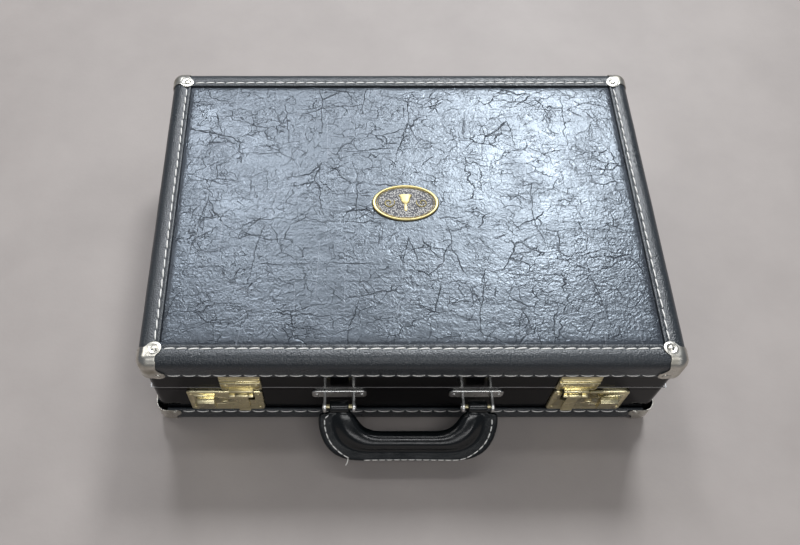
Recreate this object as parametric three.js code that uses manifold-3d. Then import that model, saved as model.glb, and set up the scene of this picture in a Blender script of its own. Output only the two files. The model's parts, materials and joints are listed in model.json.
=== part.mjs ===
// A hard attache-style carrying case for a set of handbells: a board case covered in black
// leathercloth, with padded bindings, metal corners, two slide latches, a D handle on the front,
// two hinges and two folding stays, and a fitted tray with bell-shaped pockets inside.
// Millimetres, +Z up. The handle is on the front, at -Y; "left" is at -X.
import * as THREE from "three";
import { RoundedBoxGeometry } from "three/addons/geometries/RoundedBoxGeometry.js";
import { mergeVertices } from "three/addons/utils/BufferGeometryUtils.js";
import Module from "manifold-3d";

const wasm = await Module();
wasm.setup();

// ---------- driving dimensions ----------
const WIDTH = 450; // over the metal corners
const DEPTH = 320; // over the metal corners
const HEIGHT = 125; // over the metal corners
const PARTING = 66.5; // height of the line between base and lid
const GAP = 0.3; // clearance between neighbouring pieces
const CAP_PROUD = 1; // how far a metal corner stands outside the binding
const CAP_SHEET = 0.7;
const CAP_RADIUS = 10; // outer rounding of a metal corner
const CAP_REACH = 27; // from the case's corner to the tip of a lobe
const CAP_WAIST = 18; // from the case's corner to the waist between two lobes
const CAP_RIVET = [16, 22]; // the rivet of a side lobe: in from the corner, and up or down from it
const CAP_LOBE = 6; // radius of a side lobe round its rivet
const CAP_HIGH = 26.5; // height of a metal corner on the walls
const BINDING_LEG = 2.7; // thickness of the binding outside the walls
const BINDING_LIP = 1; // thickness of the binding over the panels
const BINDING_HIGH = 25.2; // height of the binding on the walls
const BINDING_WIDE = 18.5; // width of the binding on the panels
const BINDING_RADIUS = 9;
const WALL = 6; // thickness of the boards
const WALL_RADIUS = 6;
const TRAY_TOP = 60;

// ---------- outline of the case, worked out from them ----------
const BIND_X = WIDTH / 2 - CAP_PROUD;
const BIND_Y = DEPTH / 2 - CAP_PROUD;
const WALL_X = BIND_X - BINDING_LEG - GAP;
const WALL_Y = BIND_Y - BINDING_LEG - GAP;
const INNER_X = WALL_X - WALL;
const INNER_Y = WALL_Y - WALL;
const LIP_TOP = HEIGHT - CAP_PROUD;
const LIP_UNDER = LIP_TOP - BINDING_LIP;
const COVER = [LIP_UNDER - 1.1, LIP_UNDER - GAP];
const PANEL_TOP = COVER[0] - GAP;
const PANEL_UNDER = PANEL_TOP - WALL;
const WALL_END = 7; // distance of the boards' ends from the top and the bottom of the case

// ---------- latches, for the right-hand side ----------
const LOCK = { x: [125.8, 191.8], z: [27, 66], proud: 2.4, sheet: 0.9, radius: 3.5 };
const LOCK_BACK = WALL_Y + GAP;
const LOCK_FRONT = LOCK_BACK + LOCK.proud;
const NOTCH = { x: [133.2, 148.6], floor: 49.5 };
const LOCK_CASE = { x: [131, 190.5], z: [36, 58], deep: 5.3, sheet: 1 };
const BOLT = { x: [147.6, 178], z: [51, 56.4], thick: 1 };
const BUTTON = { x: [168, 183], z: [38, 58], proud: 5.6 };
const STEM = { x: [171, 178], z: [52.8, 55.2] };
const SLIDER_TRAVEL = 6;
const KEY = { x: 160, z: 45, radius: 3.2 };
const LEAF = { x: [125.5, 160.8], z: [69.2, 97.5], sheet: 1.6, arm: [133.6, 154.4] };
const HASP_PIVOT = { y: LOCK_FRONT + 2, z: 63.5, radius: 1.8 };
const HASP = { x: [138.3, 149], tab: [138.5, 148.8], lug: [140.2, 147.2], foot: 29.5, flare: 0.8, sheet: 1 };
const LATCH_ROOM = 0.4; // between the lock and what moves in front of it

// ---------- handle ----------
const BRACKET = { x: 59.5, wide: 47, z: [51, 66], sheet: 1.5, ear: 12.5, earSheet: 2.4 };
const HANDLE_PIVOT = { y: WALL_Y + 13, z: 59.5, pin: 2 };
const GRIP = { half: 77.5, reach: 49.5, shoulder: 6, inner: 44.5, innerEdge: 22.8, thick: 6, roll: 7.5 };
const GRIP_DROOP = 42; // degrees below level at rest

// ---------- lid hinges and stays ----------
const HINGE = { x: 140, wide: 50, high: 24, sheet: 1.2, y: WALL_Y + 3.7, radius: 2.6, pin: 1 };
const STAY = { lid: [43.5, 11.6], base: [150, -15], wide: 8, sheet: 1.5, stud: 3 };
const TONGUE = { sheet: 1.5, z: [56, 71] };
const SIDE_ROOM = 9; // between the boards and the tray, where the stays fold

const DEGREE = Math.PI / 180;
const model = new THREE.Group();

// ---------- colours ----------
function paint(colour, roughness, metalness) {
  return new THREE.MeshStandardMaterial({ color: colour, roughness, metalness });
}
const leathercloth = paint(0x1b1d20, 0.45, 0);
const vinyl = paint(0x3a3f47, 0.3, 0);
const hide = paint(0x202427, 0.4, 0);
const nickel = paint(0xb9b5a6, 0.3, 0.9);
const steel = paint(0xc8c8c4, 0.25, 0.9);
const gilt = paint(0xc9bb84, 0.3, 0.9);
const flock = paint(0x14161c, 0.95, 0);
const satin = paint(0x1a1d2b, 0.9, 0);
const alloy = paint(0xa9abad, 0.4, 0.9);

// ---------- solids ----------
function solid(geometry) {
  const bare = geometry.clone();
  bare.deleteAttribute("normal");
  bare.deleteAttribute("uv");
  const merged = mergeVertices(bare, 1e-3);
  const vertProperties = merged.attributes.position.array;
  const triVerts = new Uint32Array(merged.index.array);
  return new wasm.Manifold(new wasm.Mesh({ numProp: 3, vertProperties, triVerts }));
}

function surface(made) {
  const mesh = made.getMesh();
  const geometry = new THREE.BufferGeometry();
  geometry.setAttribute("position", new THREE.BufferAttribute(mesh.vertProperties, 3));
  geometry.setIndex(new THREE.BufferAttribute(mesh.triVerts, 1));
  geometry.computeVertexNormals();
  return geometry;
}

function join(solids) {
  return solids.reduce((sum, one) => sum.add(one));
}

function block([x0, x1], [y0, y1], [z0, z1]) {
  const box = new THREE.BoxGeometry(Math.abs(x1 - x0), Math.abs(y1 - y0), Math.abs(z1 - z0));
  return solid(box.translate((x0 + x1) / 2, (y0 + y1) / 2, (z0 + z1) / 2));
}

// A round bar along X, at (y, z).
function barX([x0, x1], y, z, radius, sides = 16) {
  const bar = new THREE.CylinderGeometry(radius, radius, Math.abs(x1 - x0), sides);
  return solid(bar.rotateZ(Math.PI / 2).translate((x0 + x1) / 2, y, z));
}

// A round bar along Y, at (x, z).
function barY([y0, y1], x, z, radius, sides = 16) {
  const bar = new THREE.CylinderGeometry(radius, radius, Math.abs(y1 - y0), sides);
  return solid(bar.translate(x, (y0 + y1) / 2, z));
}

// An outline of [y, z] points, drawn out along X.
function drawnX(points, [x0, x1]) {
  const shape = new THREE.Shape(points.map(([y, z]) => new THREE.Vector2(y, z)));
  const drawn = new THREE.ExtrudeGeometry(shape, { depth: x1 - x0, bevelEnabled: false });
  const toX = new THREE.Matrix4().makeBasis(
    new THREE.Vector3(0, 1, 0), new THREE.Vector3(0, 0, 1), new THREE.Vector3(1, 0, 0));
  return solid(drawn.applyMatrix4(toX).translate(x0, 0, 0));
}

// A rectangle with rounded corners, as a shape in the plane.
function roundedRectangle([u0, u1], [v0, v1], radius) {
  const shape = new THREE.Shape();
  shape.moveTo(u0 + radius, v0);
  shape.lineTo(u1 - radius, v0);
  shape.absarc(u1 - radius, v0 + radius, radius, -Math.PI / 2, 0);
  shape.absarc(u1 - radius, v1 - radius, radius, 0, Math.PI / 2);
  shape.absarc(u0 + radius, v1 - radius, radius, Math.PI / 2, Math.PI);
  shape.absarc(u0 + radius, v0 + radius, radius, Math.PI, Math.PI * 1.5);
  return shape;
}

// A rounded rectangle in X and Z, standing towards the front from depth y0 to y1 (both positive).
function plateXZ(x, z, [y0, y1], radius) {
  const shape = roundedRectangle(x, z, radius);
  const plate = new THREE.ExtrudeGeometry(shape, { depth: y1 - y0, bevelEnabled: false, curveSegments: 3 });
  return solid(plate.rotateX(Math.PI / 2).translate(0, -y0, 0));
}

// ---------- placing ----------
function put(name, made, material) {
  const mesh = new THREE.Mesh(surface(made), material);
  mesh.name = name;
  model.add(mesh);
  return mesh;
}

// A right-hand piece and its mirror image.
function putPair(name, made, material) {
  put("right_" + name, made, material);
  put("left_" + name, made, material).scale.x = -1;
}

// A base piece and the same piece upside down for the lid.
function flipped(mesh) {
  mesh.scale.z = -1;
  mesh.position.z = HEIGHT;
  return mesh;
}

// ---------- boards ----------
// A front or back wall: a board with two rounded outer corners, its outer face towards -Y.
function longWall(z) {
  const shape = new THREE.Shape();
  shape.moveTo(-WALL_X, -INNER_Y);
  shape.absarc(-WALL_X + WALL_RADIUS, -INNER_Y, WALL_RADIUS, Math.PI, Math.PI * 1.5);
  shape.absarc(WALL_X - WALL_RADIUS, -INNER_Y, WALL_RADIUS, Math.PI * 1.5, Math.PI * 2);
  const wall = new THREE.ExtrudeGeometry(shape, { depth: z[1] - z[0], bevelEnabled: false, curveSegments: 3 });
  return solid(wall.translate(0, 0, z[0]));
}

function lockWindows(wall) {
  const room = 0.5;
  const z = [LOCK_CASE.z[0] - room, LOCK_CASE.z[1] + room];
  const through = [-WALL_Y - 1, -INNER_Y + 1];
  const right = [LOCK_CASE.x[0] - room, LOCK_CASE.x[1] + room];
  const left = [-right[1], -right[0]];
  return wall.subtract(block(right, through, z)).subtract(block(left, through, z));
}

function addWalls() {
  const baseZ = [WALL_END, PARTING - 0.2];
  const lidZ = [PARTING + 0.2, HEIGHT - WALL_END];
  for (const [half, z] of [["base", baseZ], ["lid", lidZ]]) {
    const long = longWall(z);
    const front = half === "base" ? lockWindows(long) : long;
    put(half + "_front_wall", front, leathercloth);
    put(half + "_back_wall", long, leathercloth).rotation.z = Math.PI;
    const side = block([INNER_X, WALL_X], [-INNER_Y + GAP, INNER_Y - GAP], z);
    put(half + "_right_wall", side, leathercloth);
    put(half + "_left_wall", side, leathercloth).rotation.z = Math.PI;
  }
}

function addPanels() {
  const x = [-INNER_X + GAP, INNER_X - GAP];
  const y = [-INNER_Y + GAP, INNER_Y - GAP];
  put("base_panel", block(x, y, [HEIGHT - LIP_UNDER + GAP, HEIGHT - PANEL_UNDER]), leathercloth);
  put("lid_panel", block(x, y, [PANEL_UNDER, PANEL_TOP]), leathercloth);
  const inset = 1;
  const coverX = [x[0] + inset, x[1] - inset];
  const coverY = [y[0] + inset, y[1] - inset];
  put("lid_cover", block(coverX, coverY, COVER), vinyl);
}

// ---------- padded bindings ----------
// Section in [distance in from the outer face, height from the bottom of the binding].
function bindingSection() {
  const radius = BINDING_RADIUS;
  const shape = new THREE.Shape();
  shape.moveTo(0, BINDING_HIGH);
  shape.lineTo(0, radius);
  shape.absarc(radius, radius, radius, Math.PI, Math.PI * 1.5);
  shape.lineTo(BINDING_WIDE, 0);
  shape.lineTo(BINDING_WIDE, BINDING_LIP);
  shape.lineTo(radius, BINDING_LIP);
  shape.lineTo(radius, WALL_END - CAP_PROUD - GAP);
  shape.lineTo(BINDING_LEG, WALL_END - CAP_PROUD - GAP);
  shape.lineTo(BINDING_LEG, BINDING_HIGH);
  return shape;
}

// One straight strip, mitred at both ends and cut short where the metal corner is round.
function bindingStrip(outer, otherOuter) {
  const strip = new THREE.ExtrudeGeometry(bindingSection(), { depth: 1, bevelEnabled: false, curveSegments: 4 });
  const position = strip.attributes.position;
  for (let i = 0; i < position.count; i += 1) {
    const inward = position.getX(i);
    const mitre = Math.min(otherOuter - inward - GAP / 2, otherOuter - CAP_RADIUS);
    const along = position.getZ(i) > 0.5 ? mitre : -mitre;
    position.setXYZ(i, along, -outer + inward, position.getY(i) + CAP_PROUD);
  }
  return solid(strip);
}

function addBindings() {
  const long = bindingStrip(BIND_Y, BIND_X);
  const short = bindingStrip(BIND_X, BIND_Y);
  const sides = [
    ["front", long, 0],
    ["right", short, Math.PI / 2],
    ["back", long, Math.PI],
    ["left", short, -Math.PI / 2],
  ];
  for (const [side, strip, turn] of sides) {
    put("base_binding_" + side, strip, leathercloth).rotation.z = turn;
    flipped(put("lid_binding_" + side, strip, leathercloth)).rotation.z = turn;
  }
}

// ---------- metal corners ----------
// A pressed sheet cap for the corner at the origin; the case lies towards -X, -Y and +Z of it.
// It has a lobe on each face, waists along the two long edges, and a straight hem on the walls.
function cornerCap() {
  const size = 80;
  const shell = (inset) => {
    const geometry = new RoundedBoxGeometry(size, size, size, 3, CAP_RADIUS - inset);
    return solid(geometry.translate(-size / 2 - inset, -size / 2 - inset, size / 2 + inset));
  };
  const ball = (x, y, z, radius, sides) => {
    return solid(new THREE.SphereGeometry(radius, sides, sides / 2).translate(x, y, z));
  };
  const waist = 16;
  const far = CAP_WAIST + waist;
  const [across, down] = CAP_RIVET;
  const region = ball(0, 0, 0, CAP_REACH, 20)
    .subtract(ball(-far, 0, 0, waist, 12))
    .subtract(ball(0, -far, 0, waist, 12))
    .add(barY([-CAP_RADIUS, 1], -across, down, CAP_LOBE, 12))
    .add(barX([-CAP_RADIUS, 1], -across, down, CAP_LOBE, 12));
  const hem = block([-size, 1], [-size, 1], [-1, CAP_HIGH]);
  return shell(0).subtract(shell(CAP_SHEET)).intersect(region).intersect(hem);
}

function addCorners() {
  const cap = cornerCap();
  for (const [end, y] of [["front", -1], ["back", 1]]) {
    for (const [side, x] of [["left", -1], ["right", 1]]) {
      for (const half of ["base", "lid"]) {
        const mesh = put(half + "_corner_" + end + "_" + side, cap, nickel);
        mesh.scale.set(x, y, half === "base" ? 1 : -1);
        mesh.position.set((x * WIDTH) / 2, (y * DEPTH) / 2, half === "base" ? 0 : HEIGHT);
      }
    }
  }
}

// ---------- latches ----------
function rivet(x, z, face) {
  return barY([-face + 0.4, -face - 0.8], x, z, 1.8, 8);
}

function lockBody() {
  const { x, z, sheet, radius } = LOCK;
  const innerX = [x[0] + sheet, x[1] - sheet];
  const innerZ = [z[0] + sheet, z[1] - sheet];
  const backSheet = 0.5;
  const [caseX, caseZ, caseSheet] = [LOCK_CASE.x, LOCK_CASE.z, LOCK_CASE.sheet];
  const outside = plateXZ(x, z, [LOCK_BACK, LOCK_FRONT], radius);
  const tub = block(caseX, [-LOCK_BACK - backSheet, -LOCK_BACK + LOCK_CASE.deep], caseZ);
  const room = plateXZ(innerX, innerZ, [LOCK_BACK + backSheet, LOCK_FRONT - sheet], radius - sheet);
  const tubRoom = block(
    [caseX[0] + caseSheet, caseX[1] - caseSheet],
    [-LOCK_BACK - backSheet - 0.1, -LOCK_BACK + LOCK_CASE.deep - caseSheet],
    [caseZ[0] + caseSheet, caseZ[1] - caseSheet]);
  const front = [-LOCK_FRONT - 1, -LOCK_FRONT + sheet + 0.1];
  const notch = block(NOTCH.x, [-LOCK_FRONT - 1, -LOCK_BACK - backSheet], [NOTCH.floor, z[1] + 1]);
  const slotX = [STEM.x[0] - 0.4, STEM.x[1] + SLIDER_TRAVEL + 0.4];
  const slot = block(slotX, front, [STEM.z[0] - 0.4, STEM.z[1] + 0.4]);
  const keyway = barY(front, KEY.x, KEY.z, KEY.radius + 0.3);
  const rivets = [[130, 61], [130, 33], [188, 61], [188, 33]];
  const shell = outside.add(tub).subtract(room).subtract(tubRoom).subtract(notch);
  return join([shell.subtract(slot).subtract(keyway), ...rivets.map(([u, v]) => rivet(u, v, LOCK_FRONT))]);
}

// The front of the bolt, behind the lock's front sheet.
const BOLT_Y = LOCK_FRONT - LOCK.sheet - 0.6;

function slider() {
  const near = LOCK_FRONT + LATCH_ROOM;
  const far = LOCK_FRONT + BUTTON.proud;
  const [low, high] = BUTTON.z;
  const button = drawnX([[-near, low], [-near, high], [-far + 2, high], [-far, high - 3], [-far + 1.5, low]], BUTTON.x);
  const stem = block(STEM.x, [-near - 0.5, -BOLT_Y], STEM.z);
  const bolt = block(BOLT.x, [-BOLT_Y, -BOLT_Y + BOLT.thick], BOLT.z);
  return join([button, stem, bolt]);
}

class Coil extends THREE.Curve {
  getPoint(t) {
    const turns = 5;
    const angle = t * turns * Math.PI * 2;
    const [start, end] = [BOLT.x[1] + 0.6, LOCK_CASE.x[1] - LOCK_CASE.sheet - 0.4];
    const y = -(BOLT_Y - BOLT.thick / 2) + 0.75 * Math.cos(angle);
    const z = (BOLT.z[0] + BOLT.z[1]) / 2 + 0.75 * Math.sin(angle);
    return new THREE.Vector3(start + (end - start) * t, y, z);
  }
}

function sliderSpring() {
  const wire = new THREE.Shape().absarc(0, 0, 0.22, 0, Math.PI * 2);
  const options = { steps: 45, extrudePath: new Coil(), bevelEnabled: false, curveSegments: 3 };
  return solid(new THREE.ExtrudeGeometry(wire, options));
}

function lockBarrel() {
  const inner = -LOCK_BACK + LOCK_CASE.deep - 1.4;
  const barrel = barY([-LOCK_FRONT - 0.3, inner], KEY.x, KEY.z, KEY.radius);
  const keySlot = block([KEY.x - 2.2, KEY.x + 2.2], [-LOCK_FRONT - 1, -LOCK_FRONT + 2], [KEY.z - 0.45, KEY.z + 0.45]);
  const tongue = block([KEY.x - 4.2, KEY.x], [-BOLT_Y, -BOLT_Y + BOLT.thick], [KEY.z - 1, KEY.z + 1]);
  return barrel.subtract(keySlot).add(tongue);
}

// The plate on the lid that the hasp hangs from: it steps forward over the top of the lock.
function latchLeaf() {
  const { x, z, sheet, arm } = LEAF;
  const armBack = LOCK_FRONT + LATCH_ROOM;
  const { y, z: pivotZ, radius } = HASP_PIVOT;
  const plate = plateXZ(x, z, [LOCK_BACK, LOCK_BACK + sheet], 2.5);
  const ridges = [[84.6, 87, 1.4], [90.4, 92, 0.8]].map(([low, high, proud]) =>
    block([x[0] + 0.5, x[1] - 0.5], [-LOCK_BACK - sheet - proud, -LOCK_BACK - 0.5], [low, high]));
  const step = block(arm, [-armBack - HASP.sheet, -LOCK_BACK], [z[0] - 2, z[0] + 0.8]);
  const hanging = block(arm, [-armBack - HASP.sheet, -armBack], [pivotZ, z[0]]);
  const knuckles = [[arm[0], HASP.x[0] - GAP], [HASP.x[1] + GAP, arm[1]]].map((span) => barX(span, -y, pivotZ, radius));
  const clear = barX([HASP.x[0] - GAP, HASP.x[1] + GAP], -y, pivotZ, radius + 0.5);
  const eye = barX([arm[0] - 1, arm[1] + 1], -y, pivotZ, 1.05, 10);
  const rivets = [x[0] + 4.6, x[1] - 4.6].map((u) => rivet(u, z[0] + 9, LOCK_BACK + sheet));
  return join([plate, ...ridges, step, hanging]).subtract(clear).add(join(knuckles)).subtract(eye).add(join(rivets));
}

function hasp() {
  const { y, z, radius } = HASP_PIVOT;
  const { foot, flare, sheet } = HASP;
  const knuckle = barX(HASP.x, -y, z, radius);
  const back = LOCK_FRONT + LATCH_ROOM;
  const front = back + sheet;
  const outline = [[-front, z], [-front, foot + 3], [-front - flare, foot], [-back - flare, foot],
    [-back, foot + 3], [-back, z]];
  const tab = drawnX(outline, HASP.tab);
  const lug = block(HASP.lug, [-back - sheet / 2, -BOLT_Y + BOLT.thick], [BOLT.z[0] + 0.4, BOLT.z[1]]);
  const eye = barX([HASP.x[0] - 1, HASP.x[1] + 1], -y, z, 1.05, 10);
  return join([knuckle, tab, lug]).subtract(eye);
}

function addLatches() {
  const span = [LEAF.arm[0] + 0.3, LEAF.arm[1] - 0.3];
  putPair("lock_body", lockBody(), gilt);
  putPair("slider", slider(), gilt);
  putPair("slider_spring", sliderSpring(), steel);
  putPair("lock_barrel", lockBarrel(), gilt);
  putPair("latch_leaf", latchLeaf(), gilt);
  putPair("hasp", hasp(), gilt);
  putPair("hasp_pin", barX(span, -HASP_PIVOT.y, HASP_PIVOT.z, 0.75, 10), steel);
}

// ---------- handle ----------
function handleBracket() {
  const { x, wide, z, sheet, ear, earSheet } = BRACKET;
  const { y: pivotY, z: pivotZ, pin } = HANDLE_PIVOT;
  const tip = 5.5;
  const plate = plateXZ([x - wide / 2, x + wide / 2], z, [LOCK_BACK, LOCK_BACK + sheet], 4);
  const ears = [-ear, ear].map((offset) => {
    const span = [x + offset - earSheet / 2, x + offset + earSheet / 2];
    const arm = block(span, [-pivotY, -LOCK_BACK - sheet / 2], [pivotZ - tip, pivotZ + tip]);
    return arm.add(barX(span, -pivotY, pivotZ, tip, 20));
  });
  const eye = barX([x - wide, x + wide], -pivotY, pivotZ, pin + 0.3);
  const rivets = [x - wide / 2 + 4, x + wide / 2 - 4].map((u) => rivet(u, (z[0] + z[1]) / 2, LOCK_BACK + sheet));
  return join([plate, ...ears]).subtract(eye).add(join(rivets));
}

// The handle lies in a plane: u across, v out from its pivots.
function gripOutline() {
  const { half, reach, shoulder, inner, innerEdge } = GRIP;
  const [legIn, legOut, top] = [BRACKET.x - 8, BRACKET.x + 8, -5.5];
  const shape = new THREE.Shape();
  shape.moveTo(legIn, top);
  shape.lineTo(legOut, top);
  shape.lineTo(legOut, shoulder);
  shape.lineTo(half - 2, shoulder);
  shape.quadraticCurveTo(half, shoulder, half, shoulder + 4);
  shape.bezierCurveTo(half, reach - 12, half - 12, reach, half - 36, reach);
  shape.lineTo(36 - half, reach);
  shape.bezierCurveTo(12 - half, reach, -half, reach - 12, -half, shoulder + 4);
  shape.quadraticCurveTo(-half, shoulder, 2 - half, shoulder);
  shape.lineTo(-legOut, shoulder);
  shape.lineTo(-legOut, top);
  shape.lineTo(-legIn, top);
  shape.lineTo(-legIn, shoulder / 2);
  shape.bezierCurveTo(-inner - 1, shoulder + 3, -inner, innerEdge, 18 - inner, innerEdge);
  shape.lineTo(inner - 18, innerEdge);
  shape.bezierCurveTo(inner, innerEdge, inner + 1, shoulder + 3, legIn, shoulder / 2);
  return shape;
}

function handleGrip() {
  const { thick, roll, innerEdge, half } = GRIP;
  const options = { depth: thick, bevelEnabled: false, curveSegments: 6 };
  const flat = solid(new THREE.ExtrudeGeometry(gripOutline(), options).translate(0, 0, -thick / 2));
  const rollEnd = half - 22;
  const bar = barX([-rollEnd, rollEnd], innerEdge + roll, 0, roll, 16);
  const eye = barX([-half, half], 0, 0, HANDLE_PIVOT.pin + 0.3);
  return flat.add(bar).subtract(eye);
}

function addHandle() {
  const { x, ear, earSheet } = BRACKET;
  const reach = ear + earSheet / 2 + 0.8;
  putPair("handle_bracket", handleBracket(), steel);
  const pin = barX([x - reach, x + reach], -HANDLE_PIVOT.y, HANDLE_PIVOT.z, HANDLE_PIVOT.pin, 16);
  putPair("handle_pin", pin, gilt);
  const grip = put("handle_grip", handleGrip(), hide);
  grip.position.set(0, -HANDLE_PIVOT.y, HANDLE_PIVOT.z);
  grip.rotation.x = Math.PI + GRIP_DROOP * DEGREE;
}

// ---------- hinges ----------
// One leaf, below the axis: the outer knuckles are on the base, the middle one on the lid.
function hingeLeaf(onBase) {
  const { x, wide, high, sheet, y, radius, pin } = HINGE;
  const near = WALL_Y + GAP;
  const edges = [-25, -8.5, 8.5, 25].map((step) => x + step);
  const spans = [[edges[0], edges[1] - 0.15], [edges[1] + 0.15, edges[2] - 0.15], [edges[2] + 0.15, edges[3]]];
  const own = onBase ? [spans[0], spans[2]] : [spans[1]];
  const other = onBase ? [spans[1]] : [spans[0], spans[2]];
  const leafX = [x - wide / 2, x + wide / 2];
  const leafZ = onBase ? [PARTING - high, PARTING - 0.3] : [PARTING + 0.3, PARTING + high];
  const leaf = block(leafX, [near, near + sheet], leafZ);
  const clear = other.map(([a, b]) => barX([a - 0.3, b + 0.3], y, PARTING, radius + 0.4, 12));
  const knuckles = own.map((span) => barX(span, y, PARTING, radius, 12));
  const webs = own.map((span) => block(span, [near, y], onBase ? [PARTING - 2, PARTING - 0.3] : [PARTING + 0.3, PARTING + 2]));
  const eye = barX([x - wide, x + wide], y, PARTING, pin + 0.3, 10);
  return leaf.subtract(join(clear)).add(join([...knuckles, ...webs])).subtract(eye);
}

function addHinges() {
  const { x, wide, y, pin } = HINGE;
  putPair("hinge_base_leaf", hingeLeaf(true), nickel);
  putPair("hinge_lid_leaf", hingeLeaf(false), nickel);
  putPair("hinge_pin", barX([x - wide / 2 + 0.3, x + wide / 2 - 0.3], y, PARTING, pin, 10), steel);
}

// ---------- folding stays ----------
// Pivots are given from the hinge axis as [towards the front, up].
function stayPoint([forward, up]) {
  return [HINGE.y - forward, PARTING + up];
}

// A flat bar between two pivots, in the plane from x0 to x1.
function stayBar([y0, z0], [y1, z1], x0, x1) {
  const long = Math.hypot(y1 - y0, z1 - z0);
  const shape = new THREE.Shape();
  shape.absarc(0, 0, STAY.wide / 2, Math.PI / 2, Math.PI * 1.5);
  shape.absarc(long, 0, STAY.wide / 2, -Math.PI / 2, Math.PI / 2);
  const bar = new THREE.ExtrudeGeometry(shape, { depth: x1 - x0, bevelEnabled: false, curveSegments: 5 });
  const turn = Math.atan2(z1 - z0, y1 - y0);
  const toX = new THREE.Matrix4().makeBasis(
    new THREE.Vector3(0, 1, 0), new THREE.Vector3(0, 0, 1), new THREE.Vector3(1, 0, 0));
  return solid(bar.rotateZ(turn).applyMatrix4(toX).translate(x0, y0, z0));
}

function addStays() {
  const lidPivot = stayPoint(STAY.lid);
  const basePivot = stayPoint(STAY.base);
  const elbow = stayPoint([STAY.lid[0] + STAY.base[0], STAY.lid[1] + STAY.base[1]]);
  const linkX = [INNER_X - 4, INNER_X - 4 + STAY.sheet];
  const armX = [linkX[0] - GAP - STAY.sheet, linkX[0] - GAP];
  const wallSide = INNER_X - GAP;
  const link = stayBar(basePivot, elbow, ...linkX);
  const linkStud = barX([linkX[1] - 0.2, wallSide], ...basePivot, STAY.stud);
  putPair("stay_link", link.add(linkStud), steel);
  const arm = stayBar(lidPivot, elbow, ...armX);
  const armStud = barX([armX[1] - 0.2, wallSide], ...lidPivot, STAY.stud);
  putPair("stay_arm", arm.add(armStud), steel);
}

// ---------- inside ----------
// A bell's shape about +Y, mouth at y = 0: [radius, distance from the mouth].
function bellShape(scale) {
  const profile = [[0, 0], [36, 0], [34, 6], [28, 20], [24.5, 40], [19, 56], [8, 64], [8, 128], [0, 128]];
  const points = profile.map(([radius, along]) => new THREE.Vector2(radius * scale, along * scale));
  return new THREE.LatheGeometry(points, 16);
}

function bellTray() {
  const pitch = 100;
  const margin = 8;
  const [halfX, halfY] = [INNER_X - SIDE_ROOM - 1, INNER_Y - 4];
  let tray = block([-halfX, halfX], [-halfY, halfY], [HEIGHT - PANEL_UNDER + GAP, TRAY_TOP]);
  for (let row = 0; row < 2; row += 1) {
    for (let column = 0; column < 4; column += 1) {
      const scale = 1 - 0.025 * (row * 4 + column);
      const bell = bellShape(scale);
      if (row === 1) bell.rotateZ(Math.PI);
      const mouth = (row === 0 ? -1 : 1) * (halfY - margin);
      tray = tray.subtract(solid(bell.translate((column - 1.5) * pitch, mouth, TRAY_TOP)));
    }
  }
  return tray;
}

function tongueFrame() {
  const { sheet, z } = TONGUE;
  const [x, y] = [INNER_X - GAP, INNER_Y - GAP];
  const outer = block([-x, x], [-y, y], z);
  return outer.subtract(block([-x + sheet, x - sheet], [-y + sheet, y - sheet], [z[0] - 1, z[1] + 1]));
}

function addInside() {
  const [halfX, halfY] = [INNER_X - SIDE_ROOM - 1, INNER_Y - 4];
  put("bell_tray", bellTray(), flock);
  put("base_tongue_frame", tongueFrame(), alloy);
  put("lid_lining", block([-halfX, halfX], [-halfY, halfY], [103, PANEL_UNDER - GAP]), satin);
}

// ---------- badge ----------
function addBadge() {
  const [long, short, rim] = [60.5, 39, 3.5];
  const radius = long / 2;
  const low = COVER[1] + GAP;
  const profile = [[0, 0], [radius, 0], [radius, 1.5], [radius - rim, 1.5], [radius - rim, 0.8], [0, 0.8]];
  const points = profile.map(([r, h]) => new THREE.Vector2(r, h));
  const plate = new THREE.LatheGeometry(points, 32).rotateX(Math.PI / 2).scale(1, short / long, 1);
  put("badge", solid(plate.translate(0, 0, low)), gilt);
}

addWalls();
addPanels();
addBindings();
addCorners();
addLatches();
addHandle();
addHinges();
addStays();
addInside();
addBadge();

// The origin is under the middle of the whole object.
model.updateMatrixWorld(true);
const extent = new THREE.Box3().setFromObject(model, true);
const middle = extent.getCenter(new THREE.Vector3());
model.position.set(-middle.x, -middle.y, -extent.min.z);

export default model;
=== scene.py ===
"""A hard attache-style carrying case for handbells, closed on a pale floor.

All modelling is in millimetres in the case's own frame: x to the right, y to the back, z up, with the
middle of the case at x = y = 0 and the floor at z = 0. make() turns it into the row frame, in metres.
"""
import json
import math
import bpy
import numpy as np
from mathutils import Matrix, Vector


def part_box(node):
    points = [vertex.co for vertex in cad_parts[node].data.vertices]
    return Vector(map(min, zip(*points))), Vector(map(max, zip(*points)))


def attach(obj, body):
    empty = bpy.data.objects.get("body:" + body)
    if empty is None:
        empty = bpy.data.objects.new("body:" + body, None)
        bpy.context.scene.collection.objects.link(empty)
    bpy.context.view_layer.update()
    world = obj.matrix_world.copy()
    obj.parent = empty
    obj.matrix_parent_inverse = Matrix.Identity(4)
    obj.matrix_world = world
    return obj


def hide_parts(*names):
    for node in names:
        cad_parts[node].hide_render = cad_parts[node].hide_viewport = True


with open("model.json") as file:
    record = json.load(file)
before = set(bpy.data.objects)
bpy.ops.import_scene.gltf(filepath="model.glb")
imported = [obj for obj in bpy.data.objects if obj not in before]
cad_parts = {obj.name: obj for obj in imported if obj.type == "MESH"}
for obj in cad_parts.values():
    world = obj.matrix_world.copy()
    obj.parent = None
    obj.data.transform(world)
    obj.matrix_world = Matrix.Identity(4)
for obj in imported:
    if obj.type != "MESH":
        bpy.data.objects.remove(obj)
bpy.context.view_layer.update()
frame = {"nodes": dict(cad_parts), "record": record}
MM = 0.001

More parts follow.
